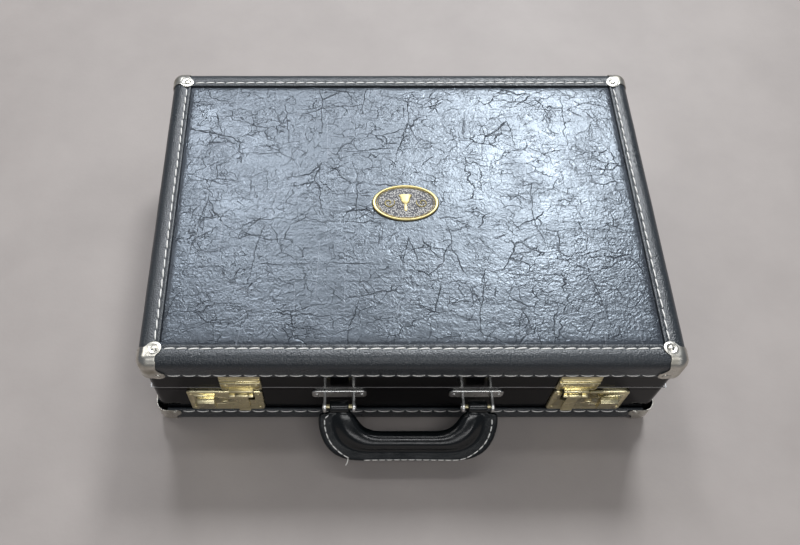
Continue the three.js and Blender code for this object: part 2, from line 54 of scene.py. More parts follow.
# ---------- driving dimensions, from the frame ----------
_left_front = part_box("lid_corner_front_left")
_right_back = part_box("lid_corner_back_right")
HALF_X = (_right_back[1].x - _left_front[0].x) / 2 / MM
HALF_Y = (_right_back[1].y - _left_front[0].y) / 2 / MM
TOP = _right_back[1].z / MM
MIDDLE_Y = (_right_back[1].y + _left_front[0].y) / 2
CAP_PROUD = 1.0  # how far the corners stand outside the bindings
BIND_X = HALF_X - CAP_PROUD
BIND_Y = HALF_Y - CAP_PROUD


def node_box(name):
    """Lowest and highest corner of a CAD node, in the case's frame in millimetres."""
    low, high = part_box(name)
    shift = Vector((0, MIDDLE_Y, 0))
    return np.array(low - shift) / MM, np.array(high - shift) / MM


WALL_Y = -node_box("base_front_wall")[0][1]  # outer face of the front wall, as a distance forward
LIP_WIDE = 18.5  # of the binding, on the case's top and bottom
LIP_HIGH = 25.2
ROLL = 9.0


# ---------- mesh tools ----------
def make(name, verts, faces, material, body, smooth=True, crease=None):
    mesh = bpy.data.meshes.new(name)
    points = np.asarray(verts, float) * MM
    points[:, 1] += MIDDLE_Y
    mesh.from_pydata(points.tolist(), [], [list(map(int, f)) for f in faces])
    mesh.validate()
    mesh.update()
    piece = bpy.data.objects.new(name, mesh)
    bpy.context.scene.collection.objects.link(piece)
    mesh.materials.append(material)
    if smooth:
        mesh.shade_smooth()
    if crease is not None:
        mesh.set_sharp_from_angle(angle=math.radians(crease))
    if body:
        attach(piece, body)
    return piece


def grid_faces(rows, cols, wrap=False, start=0, flip=False):
    """Quads of a rows x cols grid of points; wrap joins the last column to the first."""
    faces = []
    for r in range(rows - 1):
        for c in range(cols if wrap else cols - 1):
            d = (c + 1) % cols
            quad = [r * cols + c, r * cols + d, (r + 1) * cols + d, (r + 1) * cols + c]
            quad = [start + i for i in quad]
            faces.append(quad[::-1] if flip else quad)
    return faces


class Parts:
    """Collects several meshes into one."""

    def __init__(self):
        self.verts, self.faces = [], []

    def add(self, verts, faces):
        start = len(self.verts)
        self.verts.extend(np.asarray(verts, float).tolist())
        self.faces.extend([[i + start for i in f] for f in faces])
        return self

    def mirrored(self, axis=0):
        flip = np.ones(3)
        flip[axis] = -1
        twin = Parts()
        twin.verts = (np.array(self.verts) * flip).tolist()
        twin.faces = [f[::-1] for f in self.faces]
        return twin

    def make(self, *args, **kwargs):
        return make(args[0], self.verts, self.faces, *args[1:], **kwargs)


def frame_for(direction):
    """Two unit vectors across a direction."""
    d = np.asarray(direction, float)
    d = d / np.linalg.norm(d)
    helper = np.array([0, 0, 1.0]) if abs(d[2]) < 0.9 else np.array([1.0, 0, 0])
    u = np.cross(helper, d)
    u = u / np.linalg.norm(u)
    return u, np.cross(d, u)


def turned(profile, base, direction, sides=32):
    """A solid of revolution: profile is [radius, distance along direction] from the axis back to it."""
    u, v = frame_for(direction)
    d = np.asarray(direction, float) / np.linalg.norm(direction)
    rings = [p for p in profile if p[0] > 1e-6]
    verts = []
    for radius, along in rings:
        for k in range(sides):
            a = 2 * math.pi * k / sides
            verts.append(np.asarray(base) + d * along + radius * (u * math.cos(a) + v * math.sin(a)))
    faces = grid_faces(len(rings), sides, wrap=True)
    for end, ring, order in ((profile[0], 0, -1), (profile[-1], len(rings) - 1, 1)):
        if end[0] <= 1e-6:
            tip = len(verts)
            verts.append(np.asarray(base) + d * end[1])
            loop = [ring * sides + k for k in range(sides)]
            for k in range(sides):
                tri = [loop[k], loop[(k + 1) % sides], tip]
                faces.append(tri if order > 0 else tri[::-1])
    return np.array(verts), faces


def dome(base, direction, radius, height, sides=24, rings=5):
    """A rivet's domed head, with a short straight edge."""
    profile = [[0, -0.3], [radius, -0.3], [radius, height * 0.15]]
    for k in range(1, rings + 1):
        a = math.pi / 2 * k / rings
        profile.append([radius * math.cos(a) if k < rings else 0, height * (0.15 + 0.85 * math.sin(a))])
    return turned(profile, base, direction, sides)


def rounded_outline(x0, x1, z0, z1, radius, steps=6):
    """A rectangle with rounded corners, as [x, z] points, anticlockwise."""
    points = []
    for cx, cz, start in ((x1 - radius, z0 + radius, -90), (x1 - radius, z1 - radius, 0),
                          (x0 + radius, z1 - radius, 90), (x0 + radius, z0 + radius, 180)):
        for k in range(steps + 1):
            a = math.radians(start + 90 * k / steps)
            points.append([cx + radius * math.cos(a), cz + radius * math.sin(a)])
    return points


def circle(centre, radius, sides=28):
    turn = np.linspace(0, 2 * math.pi, sides, endpoint=False)
    return [[centre[0] + radius * math.cos(a), centre[1] + radius * math.sin(a)] for a in turn]


def boss(outline, y_back, y_front, bevel, steps=3):
    """A plate or button standing forward from the front wall, with a rounded front edge.
    outline is [x, z] points; y_back and y_front are distances forward of the case's middle."""
    outline = np.array(outline, float)
    count = len(outline)
    edge = np.roll(outline, -1, 0) - np.roll(outline, 1, 0)
    normal = np.stack([edge[:, 1], -edge[:, 0]], 1)
    normal /= np.linalg.norm(normal, axis=1)[:, None]
    verts = []
    rings = [(0, y_back)]
    for k in range(steps + 1):
        a = math.pi / 2 * k / steps
        rings.append((bevel * (1 - math.cos(a)), y_front - bevel * (1 - math.sin(a))))
    for inset, forward in rings:
        ring = outline - normal * inset
        verts.extend([[x, -forward, z] for x, z in ring])
    faces = grid_faces(len(rings), count, wrap=True, flip=True)
    last = (len(rings) - 1) * count
    faces.append([last + k for k in range(count)])
    faces.append([k for k in range(count)][::-1])
    return verts, faces


def drawn_x(outline, x0, x1, bevel=0.0, steps=2):
    """An outline of [forward, z] points drawn along X, with rounded ends."""
    outline = np.array(outline, float)
    edge = np.roll(outline, -1, 0) - np.roll(outline, 1, 0)
    normal = np.stack([edge[:, 1], -edge[:, 0]], 1)
    normal /= np.maximum(np.linalg.norm(normal, axis=1)[:, None], 1e-9)
    forward, z = outline.T
    area = 0.5 * np.sum(forward * np.roll(z, -1) - np.roll(forward, -1) * z)
    if area < 0:
        normal = -normal
    rings = []
    for k in range(steps + 1):
        a = math.pi / 2 * k / steps
        rings.append((x0 + bevel * (1 - math.sin(a)), bevel * (1 - math.cos(a))))
    rings = [(x, inset) for x, inset in rings][::-1] if bevel else [(x0, 0)]
    rings = sorted(rings)
    rings += [(x0 + x1 - x, inset) for x, inset in rings][::-1]
    verts = []
    for x, inset in rings:
        ring = outline - normal * inset
        verts.extend([[x, -f, z] for f, z in ring])
    count = len(outline)
    faces = grid_faces(len(rings), count, wrap=True, flip=area > 0)
    first = [k for k in range(count)]
    last = [(len(rings) - 1) * count + k for k in range(count)]
    faces.append(first if area > 0 else first[::-1])
    faces.append(last[::-1] if area > 0 else last)
    return verts, faces


def smooth_line(points, samples, closed=False):
    """A Catmull-Rom curve through the points."""
    p = np.array(points, float)
    n = len(p)
    spans = n if closed else n - 1
    out = []
    for k in range(samples):
        t = k * spans / (samples if closed else samples - 1)
        i = min(int(t), spans - 1)
        f = t - i
        def at(j):
            if closed:
                return p[j % n]
            if j < 0:
                return 2 * p[0] - p[1]
            if j >= n:
                return 2 * p[-1] - p[-2]
            return p[j]
        a, b, c, d = at(i - 1), at(i), at(i + 1), at(i + 2)
        square, cube = 2 * a - 5 * b + 4 * c - d, 3 * b - a - 3 * c + d
        out.append(0.5 * (2 * b + (c - a) * f + square * f ** 2 + cube * f ** 3))
    return np.array(out)


# ---------- materials ----------
class Look:
    """A Principled material and short calls for its nodes."""

    def __init__(self, name, colour, roughness, metallic=0.0, **sockets):
        self.material = bpy.data.materials.new(name)
        self.material.use_nodes = True
        self.tree = self.material.node_tree
        self.shader = self.tree.nodes["Principled BSDF"]
        self.set("Base Color", (*colour, 1))
        self.set("Roughness", roughness)
        self.set("Metallic", metallic)
        for socket, value in sockets.items():
            self.set(socket.replace("_", " "), value)
        self.place = self.node("ShaderNodeTexCoord").outputs["Object"]

    def set(self, socket, value):
        self.shader.inputs[socket].default_value = value

    def node(self, kind, **inputs):
        made = self.tree.nodes.new(kind)
        for key, value in inputs.items():
            if hasattr(made, key):
                setattr(made, key, value)
            else:
                self.feed(made.inputs[key.replace("_", " ")], value)
        return made

    def feed(self, socket, value):
        if isinstance(value, bpy.types.NodeSocket):
            self.tree.links.new(value, socket)
        else:
            socket.default_value = value

    def stretched(self, scale, turn=0.0, place=None):
        mapping = self.node("ShaderNodeMapping", Vector=place or self.place)
        mapping.inputs["Scale"].default_value = scale
        mapping.inputs["Rotation"].default_value = (0, 0, turn)
        return mapping.outputs[0]

    def noise(self, size, detail=3.0, roughness=0.5, place=None):
        """Noise with features of about size metres."""
        made = self.node("ShaderNodeTexNoise", Vector=place or self.place, Scale=1 / size, Detail=detail)
        made.inputs["Roughness"].default_value = roughness
        return made.outputs["Fac"]

    def ridges(self, size, detail=3.0, place=None):
        """Sharp-crested noise with features of about size metres."""
        made = self.node("ShaderNodeTexNoise", Vector=place or self.place, Scale=1 / size, Detail=detail)
        made.noise_type = "RIDGED_MULTIFRACTAL"
        made.normalize = False
        made.inputs["Offset"].default_value = 1.0
        made.inputs["Gain"].default_value = 2.0
        return self.level(made.outputs["Fac"], 0.3, 2.4)

    def cells(self, size, feature="F1", place=None, output="Distance"):
        made = self.node("ShaderNodeTexVoronoi", feature=feature, Vector=place or self.place, Scale=1 / size)
        return made.outputs[output]

    def lines(self, before, size, thin, place, part):
        """Thin lines between cells, shown where part is 1, on top of the lines that are there before."""
        line = self.level(self.cells(size, "DISTANCE_TO_EDGE", place), 0.0, thin, 1.0, 0.0)
        line = self.math("MULTIPLY", line, part)
        return line if before is None else self.math("MAXIMUM", before, line)

    def level(self, value, low, high, to_low=0.0, to_high=1.0):
        made = self.node("ShaderNodeMapRange", Value=value)
        made.inputs["From Min"].default_value = low
        made.inputs["From Max"].default_value = high
        made.inputs["To Min"].default_value = to_low
        made.inputs["To Max"].default_value = to_high
        return made.outputs["Result"]

    def math(self, operation, a, b=0.0):
        made = self.node("ShaderNodeMath", operation=operation)
        self.feed(made.inputs[0], a)
        self.feed(made.inputs[1], b)
        return made.outputs[0]

    def mix(self, share, a, b):
        made = self.node("ShaderNodeMix", data_type="RGBA")
        self.feed(made.inputs["Factor"], share)
        self.feed(made.inputs[6], (*a, 1) if isinstance(a, tuple) else a)
        self.feed(made.inputs[7], (*b, 1) if isinstance(b, tuple) else b)
        return made.outputs[2]

    def warped(self, place, size, by):
        """The place, pushed about by noise."""
        made = self.node("ShaderNodeTexNoise", Vector=place, Scale=1 / size, Detail=2.0)
        shift = self.node("ShaderNodeVectorMath", operation="SCALE")
        centre = self.node("ShaderNodeVectorMath", operation="SUBTRACT")
        self.feed(centre.inputs[0], made.outputs["Color"])
        centre.inputs[1].default_value = (0.5, 0.5, 0.5)
        self.feed(shift.inputs[0], centre.outputs[0])
        shift.inputs["Scale"].default_value = by
        total = self.node("ShaderNodeVectorMath", operation="ADD")
        self.feed(total.inputs[0], place)
        self.feed(total.inputs[1], shift.outputs[0])
        return total.outputs[0]

    def bump(self, *layers):
        """Each layer is (height, metres); later layers lie on earlier ones."""
        normal = None
        for height, metres in layers:
            made = self.node("ShaderNodeBump", Height=height, Strength=1.0, Distance=metres)
            if normal is not None:
                self.tree.links.new(normal, made.inputs["Normal"])
            normal = made.outputs["Normal"]
        self.tree.links.new(normal, self.shader.inputs["Normal"])
        return self

    def use(self, socket, value):
        self.feed(self.shader.inputs[socket], value)
        return self


def leathercloth(name, colour, roughness, grain=0.0015, depth=0.00012):
    """Coated cloth with a fine pebble grain, rubbed smoother in places."""
    look = Look(name, colour, roughness, Specular_IOR_Level=0.5)
    pebble = look.cells(grain, "SMOOTH_F1", look.warped(look.place, 0.004, 0.0012))
    fine = look.noise(0.0006, 2.0)
    patches = look.noise(0.05, 3.0)
    look.use("Roughness", look.level(patches, 0.3, 0.7, roughness - 0.06, roughness + 0.08))
    darker = tuple(c * 0.7 for c in colour)
    look.use("Base Color", look.mix(look.level(pebble, 0.1, 0.6), colour, darker))
    return look.bump((pebble, -depth), (fine, depth * 0.4)).material


# Cell size in metres, width of the line as a share of it, stretch and turn.
CREASES = ((0.046, 0.009, (0.3, 1, 1), 0.15), (0.034, 0.010, (1, 0.35, 1), 0.9),
           (0.013, 0.012, (0.4, 1, 1), 1.2), (0.020, 0.015, (0.6, 1, 1), 2.2),
           (0.010, 0.014, (1, 0.5, 1), 0.3))
SCRATCHES = ((0.07, (1, 0.12, 1), 0.3), (0.05, (1, 0.15, 1), -0.5), (0.04, (0.2, 1, 1), 0.2))


def crinkled_vinyl(name):
    """Glossy vinyl covered in fine wrinkles, with thin wandering creases and a few scratches over them. The
    creases' darker colour is painted shade.
    """
    look = Look(name, (0.05, 0.056, 0.068), 0.33, Specular_IOR_Level=0.8)
    look.set("Specular Tint", (0.78, 0.89, 1.0, 1))
    patches = look.noise(0.05, 3.0, 0.6)
    bent = look.warped(look.place, 0.014, 0.009)
    wrinkles = look.ridges(0.0036, 3.0, look.warped(look.place, 0.006, 0.005))
    cross = look.ridges(0.012, 2.0, look.stretched((0.5, 1.3, 1), 0.6, bent))
    wrinkled = look.level(look.noise(0.03, 3.0, 0.6), 0.36, 0.60, 0.45, 1.0)
    creases_and_painted_shade = scratch = None
    for size, thin, stretch, turn in CREASES:
        part = look.noise(size * 1.3, 2.0, 0.5, look.stretched((1, 1, 1), turn))
        part = look.level(part, 0.49, 0.60)
        creases_and_painted_shade = look.lines(creases_and_painted_shade, size, thin, look.stretched(stretch, turn, bent), part)
    for size, stretch, turn in SCRATCHES:
        part = look.level(look.noise(size * 0.7, 2.0), 0.52, 0.60)
        scratch = look.lines(scratch, size, 0.008, look.stretched(stretch, turn), part)
    shade = look.mix(patches, (0.022, 0.025, 0.031), (0.034, 0.039, 0.048))
    # Painted shade: the crease lines darken the colour towards near-black, as shade lying in the creases.
    shade = look.mix(look.math("MULTIPLY", creases_and_painted_shade, 0.3), shade, (0.007, 0.008, 0.010))
    shade = look.mix(look.math("MULTIPLY", scratch, 0.6), shade, (0.15, 0.16, 0.18))
    look.use("Base Color", shade)
    look.use("Roughness", look.level(patches, 0.25, 0.75, 0.24, 0.33))
    waves = look.noise(0.022, 2.0)
    fine = look.math("MULTIPLY", wrinkles, wrinkled)
    return look.bump((waves, 0.0003), (cross, 0.00018), (creases_and_painted_shade, -0.0003), (fine, 0.00024)).material


def metal(name, colour, roughness, worn=(0.5, 0.45, 0.35), scratch=0.000003):
    """Plated metal: fine scratches, a little dullness, and worn, duller patches."""
    look = Look(name, colour, roughness, 1.0)
    patches = look.noise(0.016, 2.0, 0.5)
    fine = look.noise(0.0012, 2.0)
    scratches = look.noise(0.0008, 2.0, 0.5, look.stretched((1, 14, 6), 0.5))
    look.use("Roughness", look.level(patches, 0.3, 0.75, roughness - 0.08, roughness + 0.14))
    tarnish = look.level(patches, 0.55, 0.8)
    look.use("Base Color", look.mix(tarnish, colour, worn))
    return look.bump((scratches, scratch), (fine, scratch)).material


def thread(name):
    look = Look(name, (0.85, 0.84, 0.80), 0.7, Sheen_Weight=0.3)
    twist = look.noise(0.0004, 2.0, 0.5)
    look.use("Base Color", look.mix(look.noise(0.004, 2.0), (0.92, 0.91, 0.87), (0.74, 0.72, 0.67)))
    return look.bump((twist, 0.00006)).material


def grip_leather(name):
    look = Look(name, (0.007, 0.008, 0.009), 0.2, Specular_IOR_Level=0.45)
    pores = look.cells(0.0011, "SMOOTH_F1", look.warped(look.place, 0.003, 0.001))
    wrinkles = look.noise(0.006, 4.0, 0.6)
    patches = look.noise(0.02, 3.0)
    look.use("Roughness", look.level(patches, 0.3, 0.7, 0.16, 0.26))
    look.use("Base Color", look.mix(patches, (0.0030, 0.0042, 0.0048), (0.005, 0.0065, 0.0072)))
    return look.bump((wrinkles, 0.00012), (pores, -0.00003)).material


def velvet(name, colour):
    look = Look(name, colour, 0.95, Sheen_Weight=0.6, Sheen_Roughness=0.4)
    look.set("Sheen Tint", (0.35, 0.4, 0.65, 1))
    nap = look.noise(0.0009, 3.0)
    stroke = look.noise(0.03, 3.0, 0.6)
    darker = tuple(c * 0.6 for c in colour)
    look.use("Base Color", look.mix(look.level(stroke, 0.35, 0.65), darker, colour))
    return look.bump((nap, 0.0003)).material


def satin_cloth(name, colour):
    look = Look(name, colour, 0.5, Sheen_Weight=0.3)
    weave = look.cells(0.0006, "F1", look.stretched((1, 3, 1)))
    darker = tuple(c * 0.7 for c in colour)
    look.use("Base Color", look.mix(look.noise(0.02, 3.0), darker, colour))
    return look.bump((weave, 0.00006)).material


def badge_field(name):
    """The badge's stippled, darkened ground."""
    look = Look(name, (0.16, 0.16, 0.16), 0.5, 0.7)
    dots = look.cells(0.0013, "F1")
    look.use("Base Color", look.mix(look.level(dots, 0.2, 0.6), (0.36, 0.35, 0.33), (0.05, 0.05, 0.055)))
    return look.bump((dots, -0.0003)).material


def floor_look(name):
    look = Look(name, (0.36, 0.335, 0.32), 0.55)
    blotch = look.noise(0.12, 5.0, 0.6)
    fine = look.noise(0.004, 4.0, 0.6)
    look.use("Base Color", look.mix(look.level(blotch, 0.35, 0.65), (0.30, 0.268, 0.25), (0.335, 0.30, 0.28)))
    return look.bump((fine, 0.0001)).material


M_BINDING = leathercloth("binding_leathercloth", (0.030, 0.036, 0.042), 0.30, 0.0012, 0.0003)
M_WALL = leathercloth("wall_leathercloth", (0.0022, 0.0022, 0.0026), 0.14, 0.0012, 0.00002)
M_WALL.node_tree.nodes["Principled BSDF"].inputs["Specular IOR Level"].default_value = 0.12
M_VINYL = crinkled_vinyl("crinkled_vinyl")
M_GRIP = grip_leather("grip_leather")
M_THREAD = thread("thread")
M_NICKEL = metal("nickel", (0.62, 0.60, 0.54), 0.30, (0.34, 0.31, 0.24))
M_STEEL = metal("steel", (0.66, 0.66, 0.64), 0.26, (0.45, 0.44, 0.41))
M_GILT = metal("gilt", (0.86, 0.77, 0.48), 0.26, (0.52, 0.45, 0.28))
M_BADGE = metal("badge_gilt", (0.50, 0.42, 0.20), 0.42, (0.30, 0.26, 0.16))
M_ALLOY = metal("alloy", (0.60, 0.61, 0.62), 0.35, (0.5, 0.5, 0.5))
M_FLOCK = velvet("flock", (0.018, 0.022, 0.045))
M_SATIN = satin_cloth("satin_lining", (0.025, 0.030, 0.065))
M_FIELD = badge_field("badge_field")
# Near-black for the cutters of the keyways, windows and screw slots: painted shade on the insides of the
# holes.
M_PAINTED_SHADE = Look("painted_shade_inside", (0.004, 0.004, 0.004), 0.9).material


# ---------- bindings ----------
SIDES = {"front": BIND_X, "back": BIND_X, "right": BIND_Y, "left": BIND_Y}  # half the length of each side
SEAM_END = 22  # the seams stop this far from the corners
LIP_EDGE = 1.0
TOP_STITCH = 14.4  # distance in from the outer face
SIDE_STITCH = 21.8  # distance down from the top face
TOP_PITCH = 9.9
SIDE_PITCH = 12.5


def binding_profile():
    """Outside of the binding's section: [in from the outer face, down from the face], lip to lip."""
    points = [[2.7, LIP_HIGH - 0.4], [1.6, LIP_HIGH - 0.05]]
    for k in range(5):
        a = math.pi / 2 * k / 4
        points.append([LIP_EDGE * (1 - math.sin(a)), LIP_HIGH - LIP_EDGE * (1 - math.cos(a))])
    for h in np.linspace(LIP_HIGH - LIP_EDGE - 1, ROLL + 1, 12):
        points.append([0, h])
    for k in range(9):
        a = math.pi / 2 * k / 8
        points.append([ROLL * (1 - math.cos(a)), ROLL * (1 - math.sin(a))])
    for u in np.linspace(ROLL + 1, LIP_WIDE - LIP_EDGE - 0.4, 8):
        points.append([u, 0])
    for k in range(1, 6):
        a = math.pi / 2 * k / 5
        points.append([LIP_WIDE - LIP_EDGE * (1 - math.sin(a)), LIP_EDGE * (1 - math.cos(a)) * 1.2])
    return np.array(points)


def pitches(half_length, pitch):
    """Middles of the stitches along a side, evenly spread."""
    count = max(1, round(2 * half_length / pitch))
    real = 2 * half_length / count
    return [-half_length + real * (k + 0.5) for k in range(count)], real


def binding_strip(half_other, seam_half):
    """One padded strip along a local axis. Returns points [along, in, down] and faces."""
    profile = binding_profile()
    edge = np.gradient(profile, axis=0)
    normal = np.stack([-edge[:, 1], edge[:, 0]], 1)
    normal /= np.linalg.norm(normal, axis=1)[:, None]
    if normal[len(profile) // 3][0] > 0:
        normal = -normal
    count = int(half_other / 1.25)
    shares = np.linspace(-1, 1, 2 * count + 1)
    top_real = pitches(seam_half, TOP_PITCH)[1]
    side_real = pitches(seam_half, SIDE_PITCH)[1]
    rings = []
    for share in shares:
        ring = []
        for (u, h), n in zip(profile, normal):
            along = share * min(half_other - u, half_other - 9.5)
            press = 0.0
            if h < 1.5:
                near = math.exp(-((u - TOP_STITCH) / 1.3) ** 2)
                press += near * (0.42 + 0.16 * math.cos(2 * math.pi * (along + seam_half) / top_real))
                press -= 0.10 * math.exp(-((u - 10.5) / 2.2) ** 2)
            if u < 1.5:
                near = math.exp(-((h - SIDE_STITCH) / 1.4) ** 2)
                press += near * (0.45 + 0.18 * math.cos(2 * math.pi * (along + seam_half) / side_real))
            wave = 0.10 * math.sin(along * 0.11 + u * 0.3 + h * 0.2) * math.sin(along * 0.037 + 1.3)
            d = -press + wave * 0.6
            ring.append([along, u + n[0] * d, h + n[1] * d])
        inner = [[LIP_WIDE - 1.2, 1.25], [ROLL + 0.5, 1.25], [2.7, 6.0]]
        for u, h in inner:
            ring.append([share * min(half_other - u, half_other - 9.5), u, h])
        rings.append(ring)
    points = np.array(rings).reshape(-1, 3)
    cols = len(profile) + 3
    faces = grid_faces(len(shares), cols, wrap=True)
    faces.append([k for k in range(cols)])
    faces.append([(len(shares) - 1) * cols + k for k in range(cols)][::-1])
    return points, faces


def placed(points, side, half):
    """From [along, in, down] of a side to the case's frame. half is 'lid' or 'base'."""
    along, inward, down = np.asarray(points, float).T
    z = TOP - CAP_PROUD - down if half == "lid" else CAP_PROUD + down
    if side == "front":
        return np.stack([along, -BIND_Y + inward, z], 1)
    if side == "back":
        return np.stack([-along, BIND_Y - inward, z], 1)
    if side == "right":
        return np.stack([BIND_X - inward, along, z], 1)
    return np.stack([-BIND_X + inward, -along, z], 1)


def add_bindings():
    for side, half_other in SIDES.items():
        points, faces = binding_strip(half_other, half_other - SEAM_END)
        for half in ("lid", "base"):
            flip = half == "base"
            order = [f[::-1] for f in faces] if flip else faces
            piece = make(half + "_padded_binding_" + side, placed(points, side, half), order, M_BINDING, half)
            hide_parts(half + "_binding_" + side)


# ---------- stitches ----------
def stitch(start, end, outward, width, lift, sag=0.0, sag_dir=None, twist=5.0, sides=8, rings=9):
    """One stitch of two-ply thread: its ends dive into the work and its middle stands proud."""
    start, end, outward = (np.asarray(p, float) for p in (start, end, outward))
    along = end - start
    across = np.cross(outward, along / np.linalg.norm(along))
    verts = []
    for i in range(rings):
        t = i / (rings - 1)
        bow = math.sin(math.pi * t)
        centre = start + along * t + outward * (lift * bow ** 0.45 - 0.35 * (1 - bow ** 0.4))
        if sag_dir is not None:
            centre = centre + np.asarray(sag_dir) * sag * bow
        r = width / 2 * (0.55 + 0.45 * min(1.0, 3.2 * min(t, 1 - t) + 0.1))
        for k in range(sides):
            a = 2 * math.pi * k / sides
            ply = 1 + 0.16 * math.cos(2 * a - twist * t * 2 * math.pi)
            verts.append(centre + r * ply * (across * math.cos(a) + outward * math.sin(a) * 0.8))
    faces = grid_faces(rings, sides, wrap=True)
    faces.append([k for k in range(sides)][::-1])
    faces.append([(rings - 1) * sides + k for k in range(sides)])
    return verts, faces


def add_stitches():
    for half in ("lid", "base"):
        up = np.array([0, 0, 1.0 if half == "lid" else -1.0])
        for side, half_other in SIDES.items():
            seams = Parts()
            rng = np.random.default_rng(len(side) + (7 if half == "lid" else 0))
            out = {"front": [0, -1, 0], "back": [0, 1, 0], "right": [1, 0, 0], "left": [-1, 0, 0]}[side]
            middles, real = pitches(half_other - SEAM_END, TOP_PITCH)
            for middle in middles:
                slant, wobble = 0.32 + rng.normal(0, 0.08), rng.normal(0, 0.12)
                reach = real * 0.435
                ends = placed([[middle - reach, TOP_STITCH - slant + wobble, 0.25],
                               [middle + reach, TOP_STITCH + slant + wobble, 0.25]], side, half)
                seams.add(*stitch(ends[0], ends[1], up, 1.15, 0.30, twist=4))
            middles, real = pitches(half_other - SEAM_END, SIDE_PITCH)
            for middle in middles:
                wobble = rng.normal(0, 0.1)
                reach = real * 0.42
                ends = placed([[middle - reach, 0.25, SIDE_STITCH + wobble],
                               [middle + reach, 0.25, SIDE_STITCH + wobble]], side, half)
                seams.add(*stitch(ends[0], ends[1], out, 1.1, 0.30, 0.55, [0, 0, -1.0], twist=5))
            piece = seams.make(half + "_stitches_" + side, M_THREAD, half)


# ---------- metal corners ----------
CAP_RADIUS = 10.0
CAP_SHEET = 0.65
CAP_HIGH = 26.5
FACE_RIVET = (15.4, 15.4)
SIDE_RIVET = (16.4, 22.0)


def cap_outlines():
    """Edge of the cap on each face, as [a, b] distances from the face's two edges at the corner."""
    half = [[17.6, 0], [17.2, 3.2], [17.0, 6.2], [17.6, 8.9], [19.4, 11.0], [21.2, 13.2], [21.6, 16.2],
            [20.4, 19.0], [19.8, 19.8]]
    face = half + [[b, a] for a, b in half[-2::-1]]
    side = [[17.6, 0], [17.2, 4.0], [16.9, 8.5], [17.4, 12.5], [19.2, 15.4], [21.6, 18.0], [22.4, 21.5],
            [21.8, 24.6], [19.9, 26.3], [17.0, CAP_HIGH], [11.5, CAP_HIGH], [5.5, CAP_HIGH], [0, CAP_HIGH]]
    return smooth_line(face, 57), smooth_line(side, 57)


def on_rounded_corner(points):
    """Points of a sharp corner (all coordinates <= 0) moved onto the rounded one, and their normals."""
    q = np.asarray(points, float)
    core = np.minimum(q, -CAP_RADIUS)
    away = q - core
    length = np.linalg.norm(away, axis=1)[:, None]
    normal = away / np.maximum(length, 1e-9)
    return core + normal * CAP_RADIUS, normal


def cap_parts():
    """The cap for a corner at the origin, with the case towards -X, -Y and -Z."""
    face, side = cap_outlines()
    shares = np.concatenate([np.linspace(0, 0.55, 10), np.linspace(0.6, 0.985, 14)])
    parts = Parts()
    patches = (
        (face, lambda a, b: [-a, -b, 0 * a], FACE_RIVET, True),
        (side, lambda a, b: [-a, 0 * a, -b], SIDE_RIVET, False),
        (side, lambda a, b: [0 * a, -a, -b], SIDE_RIVET, True),
    )
    for outline, to_space, rivet, flip in patches:
        layers = [(share, 0.0) for share in shares] + [(1.0, -0.22), (1.0, -CAP_SHEET)]
        layers += [(share, -CAP_SHEET) for share in shares[::-2]]
        rows = []
        for share, offset in layers:
            a, b = (outline * share).T
            place, normal = on_rounded_corner(np.stack(to_space(a, b), 1))
            away = np.hypot(a - rivet[0], b - rivet[1])
            ring = 0.42 * np.exp(-((away - 4.3) / 0.75) ** 2) - 0.18 * np.exp(-(away / 3.0) ** 4)
            rows.append(place + normal * (offset + ring[:, None]))
        rows = np.array(rows)
        parts.add(rows.reshape(-1, 3), grid_faces(rows.shape[0], rows.shape[1], flip=flip))
        middle = np.array(to_space(np.array([rivet[0]]), np.array([rivet[1]]))).T
        place, normal = on_rounded_corner(middle)
        parts.add(*dome(place[0] - normal[0] * 0.15, normal[0], 2.45, 1.0))
    return parts


def add_corners():
    cap = cap_parts()
    verts = np.array(cap.verts)
    for half, sz in (("lid", 1), ("base", -1)):
        for end, sy in (("front", -1), ("back", 1)):
            for side, sx in (("left", -1), ("right", 1)):
                sign = np.array([sx, sy, sz], float)
                where = np.array([sx * HALF_X, sy * HALF_Y, TOP if half == "lid" else 0])
                flip = sx * sy * sz < 0
                faces = [f[::-1] for f in cap.faces] if flip else cap.faces
                points = verts * sign + where
                points[:, 2] = np.clip(points[:, 2], 0, None)
                name = "_".join((half, "metal_corner", end, side))
                piece = make(name, points, faces, M_NICKEL, half, crease=50)
                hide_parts("_".join((half, "corner", end, side)))


# ---------- lid cover ----------
def add_cover():
    low, high = node_box("lid_cover")
    columns, rows = 214, 150
    xs, ys = np.linspace(low[0], high[0], columns), np.linspace(low[1], high[1], rows)
    lip_x, lip_y = BIND_X - LIP_WIDE, BIND_Y - LIP_WIDE
    verts = []
    for y in ys:
        for x in xs:
            edge = min(lip_x - abs(x), lip_y - abs(y))
            drop = 0.9 / (1 + math.exp((edge - 1.4) * 2.2))
            wave = 0.10 * math.sin(x * 0.045 + 0.8 * math.sin(y * 0.03)) * math.cos(y * 0.051 + 0.5)
            puff = 0.25 * (1 - math.exp(-max(edge, 0) / 6))
            verts.append([x, y, high[2] - 0.1 + puff + wave - drop])
    faces = grid_faces(rows, columns)
    count = len(verts)
    rim = ([c for c in range(columns)] + [r * columns + columns - 1 for r in range(1, rows)]
           + [(rows - 1) * columns + c for c in range(columns - 2, -1, -1)]
           + [r * columns for r in range(rows - 2, 0, -1)])
    for i in rim:
        verts.append([verts[i][0], verts[i][1], low[2]])
    for k, i in enumerate(rim):
        n = (k + 1) % len(rim)
        faces.append([count + k, count + n, rim[n], i])
    faces.append([count + k for k in range(len(rim))][::-1])
    piece = make("lid_vinyl_cover", verts, faces, M_VINYL, "lid")
    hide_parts("lid_cover")


